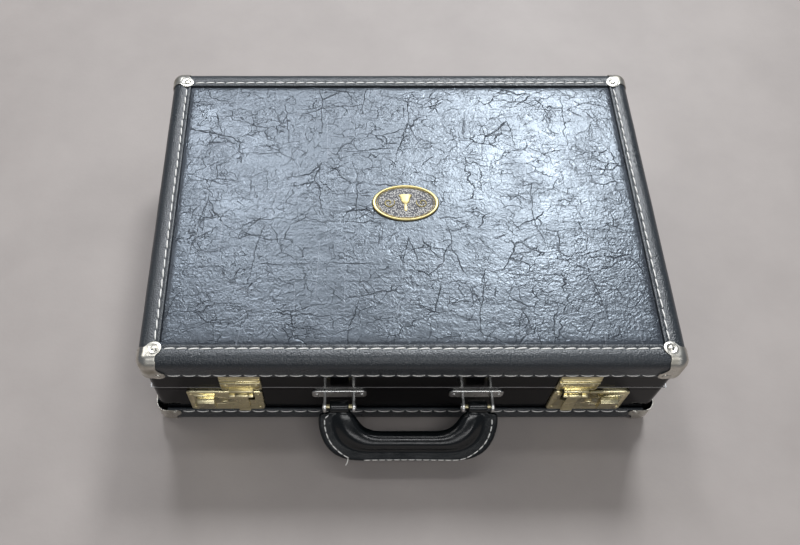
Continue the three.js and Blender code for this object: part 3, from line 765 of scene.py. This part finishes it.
# ---------- badge ----------
def add_badge():
    low, high = node_box("badge")
    half_x, half_y = (high[0] - low[0]) / 2, (high[1] - low[1]) / 2
    squeeze = np.array([1, half_y / half_x, 1])
    z = low[2]
    rim = []
    for k in range(13):
        a = math.pi * k / 12
        rim.append([half_x - 1.9 + 1.9 * math.cos(a), 0.35 + 1.35 * math.sin(a)])
    profile = [[0, 0.0], [half_x - 0.1, 0.0]] + rim + [[half_x - 4.0, 0.2], [0, 0.2]]
    verts, faces = turned(profile, [0, 0, 0], [0, 0, 1], 96)
    ring = Parts().add(verts * squeeze + [0, 0, z], faces)
    bead_profile = [[half_x - 5.6, 0.4], [half_x - 5.2, 0.85], [half_x - 4.8, 0.4]]
    bead, bead_faces = turned(bead_profile, [0, 0, 0], [0, 0, 1], 96)
    ring.add(bead * squeeze + [0, 0, z], bead_faces)
    # A small handbell in relief, with a scroll on each side; its handle points to the front.
    bell = [[0, 0], [6.2, 0], [6.0, 0.8], [4.6, 3.4], [3.9, 6.5], [2.9, 8.6], [1.1, 9.6], [0.85, 10.6],
            [1.25, 12.4], [1.35, 16.0], [0.9, 17.4], [0, 17.8]]
    verts, faces = turned(bell, [0, 8.4, 0], [0, -1, 0], 40)
    verts = verts * [1, 1, 0.22] + [0, 0, z + 0.55]
    ring.add(verts, faces)
    for mirror in (-1, 1):
        curl = []
        for k in range(40):
            t = k / 39
            a = t * 2.6 * math.pi
            r = 4.6 * (1 - t) + 0.9
            curl.append([mirror * (15.0 + r * math.cos(a + 2.6)), r * math.sin(a + 2.6) * 0.95, z + 0.75])
        ring.add(*tube(curl, 0.55, 8))
    piece = ring.make("badge_rim", M_BADGE, "lid", crease=40)
    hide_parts("badge")
    disc_profile = [[0, 0.05], [half_x - 3.6, 0.05], [half_x - 3.6, 0.45], [0, 0.45]]
    disc, disc_faces = turned(disc_profile, [0, 0, 0], [0, 0, 1], 96)
    field = make("badge_ground", disc * squeeze + [0, 0, z], disc_faces, M_FIELD, "lid", crease=40)


def tube(points, radius, sides=8, taper=True):
    """A round bar along a line of points."""
    p = np.array(points, float)
    direction = np.gradient(p, axis=0)
    verts = []
    u_last = None
    for i, (point, d) in enumerate(zip(p, direction)):
        d = d / np.linalg.norm(d)
        if u_last is None:
            u, v = frame_for(d)
        else:
            u = u_last - d * np.dot(u_last, d)
            u /= np.linalg.norm(u)
            v = np.cross(d, u)
        u_last = u
        r = radius[i] if hasattr(radius, "__len__") else radius
        if taper and i in (0, len(p) - 1):
            r *= 0.5
        for k in range(sides):
            a = 2 * math.pi * k / sides
            verts.append(point + r * (u * math.cos(a) + v * math.sin(a)))
    faces = grid_faces(len(p), sides, wrap=True)
    faces.append([k for k in range(sides)][::-1])
    faces.append([(len(p) - 1) * sides + k for k in range(sides)])
    return verts, faces


# ---------- handle ----------
_pin_low, _pin_high = node_box("right_handle_pin")
PIVOT = np.array([0, (_pin_low[1] + _pin_high[1]) / 2, (_pin_low[2] + _pin_high[2]) / 2])
LEG = (_pin_low[0] + _pin_high[0]) / 2
DROOP = math.radians(42)
GRIP_OUT = np.array([0, -math.cos(DROOP), -math.sin(DROOP)])  # from the pivots towards the grip
GRIP_UP = np.array([0, -math.sin(DROOP), math.cos(DROOP)])  # square to the handle's plane


def on_handle(u, v, w):
    """Across, out from the pivots, and up from the handle's plane."""
    return PIVOT + np.array([1.0, 0, 0]) * u + GRIP_OUT * v + GRIP_UP * w


def handle_edges(samples=121):
    """The inner and the outer edge, from the left leg's end round to the right leg's end."""
    loop = LEG - 8
    inner = [[loop, -4.5], [loop, 0], [loop - 0.8, 3.4], [48.9, 6.2], [46.4, 8.2], [44.7, 10.4], [43.1, 12.8],
             [41.2, 15.4], [38.4, 18.2], [34.8, 20.5], [30.5, 22.0], [25.5, 22.7],
             [20, 22.8], [13, 22.8], [6, 22.8]]
    loop = LEG + 8
    outer = [[loop, -4.5], [loop + 0.3, 1.5], [loop + 1.0, 4.7], [71.2, 6.0], [75.4, 6.6], [77.2, 9.5],
             [77.4, 16], [76.2, 23], [73.6, 31], [68.9, 38.6], [62.5, 44.2], [54.5, 47.8],
             [44, 49.4], [30, 49.5], [14, 49.5]]
    whole = [[[-u, v] for u, v in half] + [[0, half[-1][1]]] + half[::-1] for half in (inner, outer)]
    return smooth_line(whole[0], samples), smooth_line(whole[1], samples)


def handle_thickness(s, across):
    """Half thickness. s runs 0 to 1 along the handle, across runs 0 at the inner edge to 1 at the outer."""
    leg = min(1.0, max(0.0, min(s, 1 - s) - 0.06) / 0.24)
    leg = leg * leg * (3 - 2 * leg)
    flange = 2.0 + 0.7 * (1 - leg)
    roll = 7.6 * leg + 3.6 * (1 - leg)
    t = min(across / 0.66, 1.0)
    bulge = math.sqrt(max(0.0, 1 - (2 * t - 1) ** 2)) if t < 0.5 else math.cos((t - 0.5) * math.pi) ** 1.4
    inner_round = math.sqrt(max(0.0, 1 - (1 - min(1, across / 0.2)) ** 2))
    outer_round = math.sqrt(max(0.0, 1 - (1 - min(1.0, (1 - across) / 0.05)) ** 2))
    return flange * inner_round * outer_round + (roll - flange) * max(0.0, bulge)


def add_handle():
    inner, outer = handle_edges()
    count = len(inner)
    roll_shares = 0.5 * (1 - np.cos(np.linspace(0, math.pi, 22))) * 0.6
    acrosses = np.concatenate([roll_shares, np.linspace(0.62, 0.94, 8), [0.965, 0.985, 0.996, 1.0]])
    rows = []
    for i in range(count):
        s = i / (count - 1)
        half = [handle_thickness(s, a) for a in acrosses]
        row = []
        for a, h in zip(acrosses, half):
            u, v = inner[i] + (outer[i] - inner[i]) * a
            row.append(on_handle(u, v, h))
        for a, h in list(zip(acrosses, half))[-2:0:-1]:
            u, v = inner[i] + (outer[i] - inner[i]) * a
            row.append(on_handle(u, v, -h))
        rows.append(row)
    rows = np.array(rows)
    cols = rows.shape[1]
    body = Parts().add(rows.reshape(-1, 3), grid_faces(count, cols, wrap=True))
    body.faces.append([k for k in range(cols)][::-1])
    body.faces.append([(count - 1) * cols + k for k in range(cols)])
    for side in (-1, 1):
        x0, x1 = sorted((side * LEG - 8.1, side * LEG + 8.1))
        loop = circle((-PIVOT[1], PIVOT[2]), 5.6, 40)
        body.add(*drawn_x(loop, x0, x1, 1.2, 4))
    piece = body.make("handle_leather", M_GRIP, "handle", crease=60)
    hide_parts("handle_grip")
    add_handle_stitches(inner, outer)


def add_handle_stitches(inner, outer):
    """A seam near the outer edge, on both faces; some stitches have worn away and one end hangs loose."""
    seams = Parts()
    samples = 400
    fine_inner, fine_outer = (smooth_line(line, samples) for line in (inner, outer))
    seam = []
    for k in range(samples):
        inward = fine_inner[k] - fine_outer[k]
        inward /= np.linalg.norm(inward)
        side = min(1.0, max(0.0, (abs(fine_outer[k][0]) - 44) / 24))
        seam.append(fine_outer[k] + inward * (1.5 + 3.7 * side * side * (3 - 2 * side)))
    seam = np.array(seam)
    lengths = np.concatenate([[0], np.cumsum(np.linalg.norm(np.diff(seam, axis=0), axis=1))])
    pitch = 6.4
    first, last = lengths[-1] * 0.062, lengths[-1] * 0.938
    count = int((last - first) / pitch)
    for k in range(count):
        low = first + k * pitch
        high = low + pitch * 0.93
        a = np.array([np.interp(low, lengths, seam[:, j]) for j in (0, 1)])
        b = np.array([np.interp(high, lengths, seam[:, j]) for j in (0, 1)])
        for face in (1, -1):
            if face == 1 and -52 < a[0] < -41 and a[1] > 40:
                continue
            start, end = on_handle(*a, face * 2.1), on_handle(*b, face * 2.1)
            width = 0.75 + 0.35 * min(1.0, max(0.0, (abs(a[0]) - 44) / 24))
            seams.add(*stitch(start, end, GRIP_UP * face, width, 0.26, twist=3, rings=7))
    end = np.array([-52.0, 46.4])
    reach = np.linspace(0, 8.2, 16)
    loose = [on_handle(end[0] - 0.03 * t * t, end[1] + 0.98 * t, 2.6 - 0.05 * t * t) for t in reach]
    seams.add(*tube(loose, 0.5, 8))
    piece = seams.make("handle_stitches", M_THREAD, "handle")


def add_brackets():
    low, high = node_box("right_handle_bracket")
    back = WALL_Y + 0.3
    sheet = 1.6
    middle = (low[0] + high[0]) / 2
    z0, z1 = low[2] + 2.2, high[2] - 0.6
    pivot_y, pivot_z = -PIVOT[1], PIVOT[2]
    bracket = Parts()
    bracket.add(*boss(rounded_outline(low[0], high[0], z0, z1, 3.5), back, back + sheet, 0.8, 4))
    for offset in (-12.5, 12.5):
        x0, x1 = middle + offset - 1.25, middle + offset + 1.25
        ear = [[back + 0.5, pivot_z - 5.4], [pivot_y, pivot_z - 5.4]]
        turns = np.linspace(-math.pi / 2, math.pi / 2, 17)[1:-1]
        ear += [[pivot_y + 5.4 * math.cos(a), pivot_z + 5.4 * math.sin(a)] for a in turns]
        ear += [[pivot_y, pivot_z + 5.4], [back + 0.5, pivot_z + 5.4]]
        bracket.add(*drawn_x(ear, x0, x1, 0.45, 3))
    for x in (low[0] + 4, high[0] - 4):
        bracket.add(*dome([x, -(back + sheet), (z0 + z1) / 2], [0, -1, 0], 2.0, 0.9))
    heads = Parts()
    for x, d in ((middle - 13.75, -1), (middle + 13.75, 1)):
        heads.add(*dome([x, -pivot_y, pivot_z], [d, 0, 0], 2.7, 1.2))
    twins = (("right", bracket, heads), ("left", bracket.mirrored(), heads.mirrored()))
    for name, parts, twin_parts in twins:
        piece = parts.make(name + "_bracket_plate", M_STEEL, "base", crease=35)
        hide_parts(name + "_handle_bracket")
        pin = twin_parts.make(name + "_pin_heads", M_STEEL, "base", crease=35)


# ---------- latches ----------
def cut(target, cutter):
    """Takes the cutter out of the target, and removes the cutter."""
    modifier = target.modifiers.new("cut", "BOOLEAN")
    modifier.operation = "DIFFERENCE"
    modifier.solver = "EXACT"
    modifier.object = cutter
    apply(target, modifier)
    bpy.data.objects.remove(cutter)


def apply(piece, modifier):
    with bpy.context.temp_override(object=piece, active_object=piece, selected_objects=[piece]):
        bpy.ops.object.modifier_apply(modifier=modifier.name)


LOCK_LOW, LOCK_HIGH = node_box("right_lock_body")
LOCK_BACK = WALL_Y + 0.3
LOCK_FRONT = LOCK_BACK + 2.4
KNUCKLE_LOW, KNUCKLE_HIGH = node_box("right_hasp_pin")
KNUCKLE = -(KNUCKLE_LOW[1] + KNUCKLE_HIGH[1]) / 2, (KNUCKLE_LOW[2] + KNUCKLE_HIGH[2]) / 2
KEY = 160.0, 45.0
NOTCH = 133.2, 148.6
ARM = 133.6, 154.4
HASP_X = 138.3, 149.0
# The spring is drawn at its rest length, so the drawn bolt ends short of it by the slider's 6 mm of travel.
BOLT_END = node_box("right_slider_spring")[0][0] - 6.4


def lock_plate():
    x0, x1, z0, z1 = LOCK_LOW[0], LOCK_HIGH[0], LOCK_LOW[2], LOCK_HIGH[2]
    body = Parts().add(*boss(rounded_outline(x0, x1, z0, z1, 3.5, 8), LOCK_BACK, LOCK_FRONT, 1.7, 6))
    for x in (130.0, 188.0):
        for z in (33.0, 61.0):
            body.add(*dome([x, -LOCK_FRONT, z], [0, -1, 0], 1.8, 0.8))
    return body


def lock_windows():
    """The notch for the hasp's lug, the slider's slot and the keyway."""
    holes = Parts()
    notch = rounded_outline(*NOTCH, 49.5, LOCK_HIGH[2] + 6, 1.2, 4)
    holes.add(*boss(notch, LOCK_BACK - 1, LOCK_FRONT + 3, 0.1))
    holes.add(*boss(rounded_outline(168.2, 184.4, 52.4, 55.6, 0.8, 4), LOCK_BACK + 0.6, LOCK_FRONT + 3, 0.1))
    keyway = [[0, 0], [3.5, 0], [3.5, 6], [0, 6]]
    holes.add(*turned(keyway, [KEY[0], -LOCK_FRONT + 1.8, KEY[1]], [0, -1, 0], 32))
    return holes


def slider_button():
    low, high = node_box("right_slider")
    near, far = LOCK_FRONT + 0.4, LOCK_FRONT + 5.6
    z0, z1 = low[2], high[2]
    outline = [[near, z0], [near, z1], [near + 2.3, z1], [near + 2.6, z1 - 0.3], [near + 2.6, z1 - 2.0],
               [near + 2.9, z1 - 2.2], [far - 0.4, z1 - 2.8], [far, z1 - 3.2], [far - 0.4, z1 - 4.6],
               [far - 1.5, z0 + 0.4], [far - 1.8, z0]]
    body = Parts().add(*drawn_x(outline, 168, 183, 0.35, 3))
    body.add(*boss(rounded_outline(168.5, BOLT_END, 52.8, 55.2, 0.5, 3), LOCK_FRONT - 1.5, near + 0.5, 0.1))
    bolt = rounded_outline(147.8, BOLT_END, 51, 56.4, 0.8, 3)
    body.add(*boss(bolt, LOCK_FRONT - 2.5, LOCK_FRONT - 1.5, 0.2))
    return body


def key_barrel():
    profile = [[0, 0], [3.2, 0], [3.2, 4.8], [2.9, 5.1], [0, 5.1]]
    return Parts().add(*turned(profile, [KEY[0], -LOCK_FRONT + 4.8, KEY[1]], [0, -1, 0], 40))


def key_slot():
    outline = rounded_outline(KEY[0] - 2.1, KEY[0] + 2.1, KEY[1] - 0.5, KEY[1] + 0.5, 0.4, 3)
    return Parts().add(*boss(outline, LOCK_FRONT - 2, LOCK_FRONT + 3, 0.05))


def latch_plate():
    low, high = node_box("right_latch_leaf")
    x0, x1, z0, z1 = low[0], high[0], 69.2, high[2]
    face = LOCK_BACK + 1.6
    body = Parts().add(*boss(rounded_outline(x0, x1, z0, z1, 2.5, 6), LOCK_BACK, face, 1.1, 5))
    for low_z, high_z, proud in ((84.6, 87.2, 1.5), (90.2, 92.0, 0.8)):
        ridge = [[face - 0.6, low_z], [face + proud * 0.6, low_z], [face + proud, low_z + 0.6],
                 [face + proud, high_z - 0.6], [face + proud * 0.6, high_z], [face - 0.6, high_z]]
        body.add(*drawn_x(ridge, x0 + 0.6, x1 - 0.6, 0.3, 2))
    near = LOCK_FRONT + 0.4
    step = [[LOCK_BACK, z0 - 2], [near + 0.3, z0 - 2], [near + 1.0, z0 - 1.6], [near + 1.0, z0 - 0.2],
            [near + 0.6, z0 + 0.5], [near - 0.2, z0 + 0.8], [LOCK_BACK, z0 + 0.8]]
    body.add(*drawn_x(step, *ARM, 0.25, 2))
    radius = 1.8
    clear = KNUCKLE[1] + radius + 0.5
    knuckles = ((ARM[0], HASP_X[0] - 0.3), KNUCKLE[1]), ((HASP_X[1] + 0.3, ARM[1]), KNUCKLE[1])
    for span, foot in (*knuckles, (HASP_X, clear)):
        hanging = [[near, foot], [near + 1.0, foot], [near + 1.0, z0 - 0.8], [near, z0 - 0.8]]
        body.add(*drawn_x(hanging, *span, 0.1, 2))
        if foot < clear:
            body.add(*drawn_x(circle(KNUCKLE, radius), *span, 0.3, 3))
    return body


def latch_rivets():
    low, high = node_box("right_latch_leaf")
    body = Parts()
    for x in (low[0] + 4.6, high[0] - 4.6):
        body.add(*dome([x, -LOCK_BACK - 1.1, 78.2], [0, -1, 0], 2.1, 1.0))
    return body


def latch_channel():
    """The long shallow recess that the leaf's rivets sit in."""
    low, high = node_box("right_latch_leaf")
    outline = rounded_outline(low[0] + 1.6, high[0] - 1.6, 73.0, 83.4, 4.8, 8)
    return Parts().add(*boss(outline, LOCK_BACK + 1.1, LOCK_BACK + 5, 0.05))


def hasp_tab():
    foot, near = 29.5, LOCK_FRONT + 0.4
    body = Parts().add(*drawn_x(circle(KNUCKLE, 1.8), *HASP_X, 0.3, 3))
    outline = [[near, KNUCKLE[1]], [near, foot + 3], [near + 0.3, foot + 1.3], [near + 0.9, foot],
               [near + 1.7, foot + 0.2], [near + 1.4, foot + 1.3], [near + 1.0, foot + 3],
               [near + 1.0, KNUCKLE[1]]]
    body.add(*drawn_x(outline, HASP_X[0] + 0.2, HASP_X[1] - 0.2, 0.25, 2))
    body.add(*boss(rounded_outline(140.2, 147.2, 51.4, 56.4, 0.8, 3), LOCK_FRONT - 2.5, near + 0.5, 0.2))
    return body


def add_latches():
    for side in ("right", "left"):
        for parts, name, node, body, hole in (
            (lock_plate(), "_lock_plate", "_lock_body", "base", lock_windows()),
            (slider_button(), "_slider_button", "_slider", side + "_slider", None),
            (key_barrel(), "_key_barrel", "_lock_barrel", side + "_lock_barrel", key_slot()),
            (latch_plate(), "_latch_plate", "_latch_leaf", "lid", latch_channel()),
            (hasp_tab(), "_hasp_tab", "_hasp", side + "_hasp", None),
        ):
            parts, hole = (part.mirrored() if part and side == "left" else part for part in (parts, hole))
            piece = parts.make(side + name, M_GILT, body, crease=35)
            if hole:
                cut(piece, hole.make(side + name + "_hole", M_PAINTED_SHADE, None))
            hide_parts(side + node)
        rivets = latch_rivets() if side == "right" else latch_rivets().mirrored()
        rivets.make(side + "_latch_rivets", M_GILT, "lid", crease=35)


# ---------- inside ----------
def even_lines(half, step, extra=()):
    """Grid lines from -half to half: close together at both ends and beside each extra place."""
    ends = [0, 0.3, 0.9, 1.8, 3.0, 4.5]
    lines = list(np.linspace(-half + 6.5, half - 6.5, int((2 * half - 13) / step)))
    for place in extra:
        lines = [v for v in lines if abs(v - place) > 1.6]
        lines += [place - 0.9, place - 0.3, place + 0.3, place + 0.9]
    return np.array(sorted([-half + e for e in ends] + lines + [half - e for e in ends]))


def slab(xs, ys, heights, flat):
    """A closed pad: a shaped face over a grid, and a flat face at the height called flat."""
    rows, cols = heights.shape
    verts = [[x, y, heights[j, i]] for j, y in enumerate(ys) for i, x in enumerate(xs)]
    below = heights[0, 0] > flat
    faces = grid_faces(rows, cols, flip=not below)
    rim = [i for i in range(cols)] + [j * cols + cols - 1 for j in range(1, rows)]
    rim += [(rows - 1) * cols + i for i in range(cols - 2, -1, -1)]
    rim += [j * cols for j in range(rows - 2, 0, -1)]
    start = len(verts)
    verts += [[verts[k][0], verts[k][1], flat] for k in rim]
    count = len(rim)
    for k in range(count):
        nxt = (k + 1) % count
        quad = [rim[nxt], rim[k], start + k, start + nxt]
        faces.append(quad if below else quad[::-1])
    floor = [start + k for k in range(count)]
    faces.append(floor[::-1] if below else floor)
    return verts, faces


def rounded_rim(xs, ys, radius):
    """How far a pad's face drops towards its outline."""
    in_x = np.minimum(xs - xs[0], xs[-1] - xs)[None, :]
    in_y = np.minimum(ys - ys[0], ys[-1] - ys)[:, None]
    near = np.clip(radius - np.minimum(in_x, in_y), 0, radius)
    return radius - np.sqrt(radius ** 2 - near ** 2)


# The distance from the bell's mouth, and its radius there.
BELL = [[0, 36], [6, 34], [20, 28], [40, 24.5], [56, 19], [64, 8], [128, 8]]


def add_tray():
    """Flocked foam with a bell-shaped pocket for each of eight handbells."""
    low, high = node_box("bell_tray")
    half_x, half_y, pitch, margin = high[0], (high[1] - low[1]) / 2, 100.0, 8.0
    mouth = half_y - margin
    xs = even_lines(half_x, 2.2)
    ys = even_lines(half_y, 2.0, (-mouth, mouth))
    depth = np.zeros((len(ys), len(xs)))
    along, radius = np.array(BELL).T
    for row in range(2):
        side = -1 if row == 0 else 1
        for column in range(4):
            scale = 1 - 0.025 * (row * 4 + column)
            inward = (mouth - side * ys) / scale
            r = np.interp(inward, along, radius, left=0, right=0) * scale
            r[(inward < 0) | (inward > 128)] = 0
            across = xs - (column - 1.5) * pitch
            depth = np.maximum(depth, np.sqrt(np.maximum(0, r[:, None] ** 2 - across[None, :] ** 2)))
    for _ in range(2):
        wide = np.pad(depth, 1, mode="edge")
        depth = (wide[:-2, 1:-1] + wide[2:, 1:-1] + wide[1:-1, :-2] + wide[1:-1, 2:] + 4 * depth) / 8
    sag = 0.35 * np.sin(xs / 31)[None, :] * np.sin(ys / 23 + 1)[:, None]
    heights = high[2] - 0.4 - depth - rounded_rim(xs, ys, 3.0) + np.minimum(sag, 0.35)
    pad = Parts().add(*slab(xs, ys, np.maximum(heights, low[2] + 2), low[2]))
    shift_y = (high[1] + low[1]) / 2
    pad.verts = [[x, y + shift_y, z] for x, y, z in pad.verts]
    piece = pad.make("flocked_tray", M_FLOCK, "base", crease=70)
    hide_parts("bell_tray")


def add_lining():
    """Satin over wadding, quilted in diamonds, with a covered button at each crossing and a corded edge."""
    low, high = node_box("lid_lining")
    half_x, half_y = high[0], (high[1] - low[1]) / 2
    shift_y = (high[1] + low[1]) / 2
    xs, ys = even_lines(half_x, 2.0), even_lines(half_y, 2.0)
    x, y = np.meshgrid(xs, ys)
    pitch, edge = 2 * half_x / 7, 13.0
    u, v = (x / pitch + y / pitch), (x / pitch - y / pitch)
    puff = (np.abs(np.sin(math.pi * (u + 0.5))) * np.abs(np.sin(math.pi * (v + 0.5)))) ** 0.42
    pull = 0.28 * np.sin(u * 26 + 1.5 * np.sin(v * 5)) * np.exp(-8 * np.abs(np.sin(math.pi * (v + 0.5))))
    pull += 0.28 * np.sin(v * 24 + 1.5 * np.sin(u * 6)) * np.exp(-8 * np.abs(np.sin(math.pi * (u + 0.5))))
    inner = np.minimum(np.minimum(x - xs[0], xs[-1] - x), np.minimum(y - ys[0], ys[-1] - y))
    seam = np.exp(-((inner - edge) / 1.6) ** 2)
    border = inner < edge
    rise = np.where(border, 0.75 * np.sin(np.clip(inner / edge, 0, 1) * math.pi) ** 0.5, puff)
    rise = np.clip(rise * (1 - 0.75 * seam) + np.where(border, 0, pull * 0.35), 0, 1)
    heights = low[2] + 0.4 + 6.5 * (1 - rise)
    pad = Parts().add(*slab(xs, ys, heights, high[2]))
    for i in range(-4, 5):
        for j in range(-4, 5):
            for shift in (0.0, 0.5):
                bx, by = (i + shift) * pitch, (j + 0.5 + shift) * pitch
                if abs(bx) < half_x - edge - 4 and abs(by) < half_y - edge - 4:
                    pad.add(*dome([bx, by, low[2] + 5.4], [0, 0, -1], 4.2, 2.2, 20, 4))
    ring = rounded_outline(-half_x + edge, half_x - edge, -half_y + edge, half_y - edge, 4.0, 4)
    cord = smooth_line([[px, py, low[2] + 4.6] for px, py in ring], 400, closed=True)
    pad.add(*tube(np.vstack([cord, cord[:1]]), 1.1, 8, taper=False))
    pad.verts = [[px, py + shift_y, pz] for px, py, pz in pad.verts]
    piece = pad.make("quilted_lining", M_SATIN, "lid", crease=60)
    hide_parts("lid_lining")


def add_screws():
    """Slotted screws in the hinge leaves, 8 mm from each leaf's outer edge."""
    leaf_face = WALL_Y + 1.2
    for side in ("right", "left"):
        for leaf, body, up in (("_hinge_base_leaf", "base", -1), ("_hinge_lid_leaf", "lid", 1)):
            low, high = node_box(side + leaf)
            outer = low[2] if up < 0 else high[2]
            heads, slots = Parts(), Parts()
            for share in (0.15, 0.5, 0.85):
                x, z = low[0] + (high[0] - low[0]) * share, outer - up * 8.0
                heads.add(*dome([x, leaf_face, z], [0, 1, 0], 3.2, 1.0))
                turn = 0.5 + share * 4
                across = np.array([math.cos(turn), 0, math.sin(turn)])
                middle = np.array([x, leaf_face + 0.95, z])
                slots.add(*tube([middle - across * 2.6, middle, middle + across * 2.6], 0.3, 8))
            piece = heads.make(side + leaf + "_screws", M_STEEL, body, crease=35)
            cut(piece, slots.make("slots", M_PAINTED_SHADE, None))


def add_parting():
    """A thin light edging round the lid, 4.2 mm above the CAD's parting line to match the photograph."""
    z = node_box("lid_front_wall")[0][2] + 4.2
    side_x = node_box("lid_right_wall")[1][0]
    edge = Parts()
    for face, reach in ((WALL_Y, side_x), (side_x, WALL_Y)):
        inside, edge_y, proud = face - 0.6, face + 0.1, face + 0.25
        bead = [[inside, z - 0.3], [edge_y, z - 0.3], [proud, z], [edge_y, z + 0.3], [inside, z + 0.3]]
        strip = Parts().add(*drawn_x(bead, -reach, reach, 0.1, 1))
        if face == side_x:
            strip.verts = [[-y, x, height] for x, y, height in strip.verts]
            edge.add(strip.verts, strip.faces)
            strip = strip.mirrored()
        else:
            edge.add(strip.verts, strip.faces)
            strip = strip.mirrored(1)
        edge.add(strip.verts, strip.faces)
    piece = edge.make("closing_edge", M_ALLOY, "lid", crease=40)


# ---------- CAD nodes that stay ----------
def dress_cad_nodes():
    looks = {"leathercloth": M_WALL, "nickel": M_NICKEL, "steel": M_STEEL, "gilt": M_GILT, "alloy": M_ALLOY,
             "flock": M_FLOCK, "satin": M_SATIN, "vinyl": M_VINYL, "hide": M_GRIP, "binding": M_BINDING}
    slots = {part["node"]: part["material_slot"] for part in frame["record"]["subparts"]}
    for name, node in frame["nodes"].items():
        node.data.materials.clear()
        node.data.materials.append(looks[slots[name]])
        node.data.shade_smooth()
        node.data.set_sharp_from_angle(angle=math.radians(35))


# ---------- stage, camera, lights ----------
def add_stage():
    size = 3.0
    mesh = bpy.data.meshes.new("floor")
    corners = [(-size, -size, 0), (size, -size, 0), (size, size, 0), (-size, size, 0)]
    mesh.from_pydata(corners, [], [(0, 1, 2, 3)])
    floor = bpy.data.objects.new("floor", mesh)
    mesh.materials.append(floor_look("floor"))
    bpy.context.scene.collection.objects.link(floor)


def add_camera():
    data = bpy.data.cameras.new("camera")
    data.sensor_width = 36
    data.lens = 37.61
    data.shift_x = 0.0719
    camera = bpy.data.objects.new("camera", data)
    camera.location = (-0.0567, -0.4372 + MIDDLE_Y, 0.7373)
    camera.rotation_euler = (math.radians(30.7), 0, 0)
    bpy.context.scene.collection.objects.link(camera)
    bpy.context.scene.camera = camera


def area_light(name, place, target, size, power, colour=(1, 1, 1)):
    data = bpy.data.lights.new(name, "AREA")
    data.shape = "RECTANGLE"
    data.size, data.size_y = size
    data.energy = power
    data.color = colour
    light = bpy.data.objects.new(name, data)
    light.location = place
    light.rotation_euler = (Vector(target) - Vector(place)).to_track_quat("-Z", "Y").to_euler()
    bpy.context.scene.collection.objects.link(light)


def add_lights():
    world = bpy.data.worlds.new("studio")
    world.use_nodes = True
    world.node_tree.nodes["Background"].inputs[0].default_value = (0.82, 0.88, 1.0, 1)
    world.node_tree.nodes["Background"].inputs[1].default_value = 0.17
    bpy.context.scene.world = world
    area_light("right_panel", (0.82, 1.95, 2.5), (0.3, 0.0, 0.1), (0.6, 0.8), 66, (0.94, 0.97, 1.0))
    area_light("left_panel", (-0.62, 1.85, 2.5), (0.0, 0.0, 0.1), (0.4, 0.6), 30, (0.92, 0.95, 1.0))
    area_light("back_panel", (0.15, 2.4, 2.5), (0.0, 0.0, 0.1), (1.0, 0.5), 18, (0.92, 0.95, 1.0))
    area_light("key", (-1.7, 0.7, 2.2), (0, 0, 0.1), (1.0, 1.0), 9, (1.0, 0.98, 0.95))
    area_light("overhead", (0.0, 0.5, 2.5), (0, 0.0, 0), (1.8, 0.2), 7)
    area_light("front", (0.2, -0.9, 2.0), (0, -0.1, 0.05), (1.6, 0.3), 10)
    area_light("low_front", (0.2, -1.7, 1.1), (0, -0.1, 0.05), (1.4, 0.3), 5)


add_camera()
dress_cad_nodes()
add_bindings()
add_stitches()
add_corners()
add_cover()
add_badge()
add_handle()
add_brackets()
add_latches()
add_tray()
add_lining()
add_parting()
add_screws()
add_stage()
add_lights()
bpy.context.scene.view_settings.view_transform = "Standard"
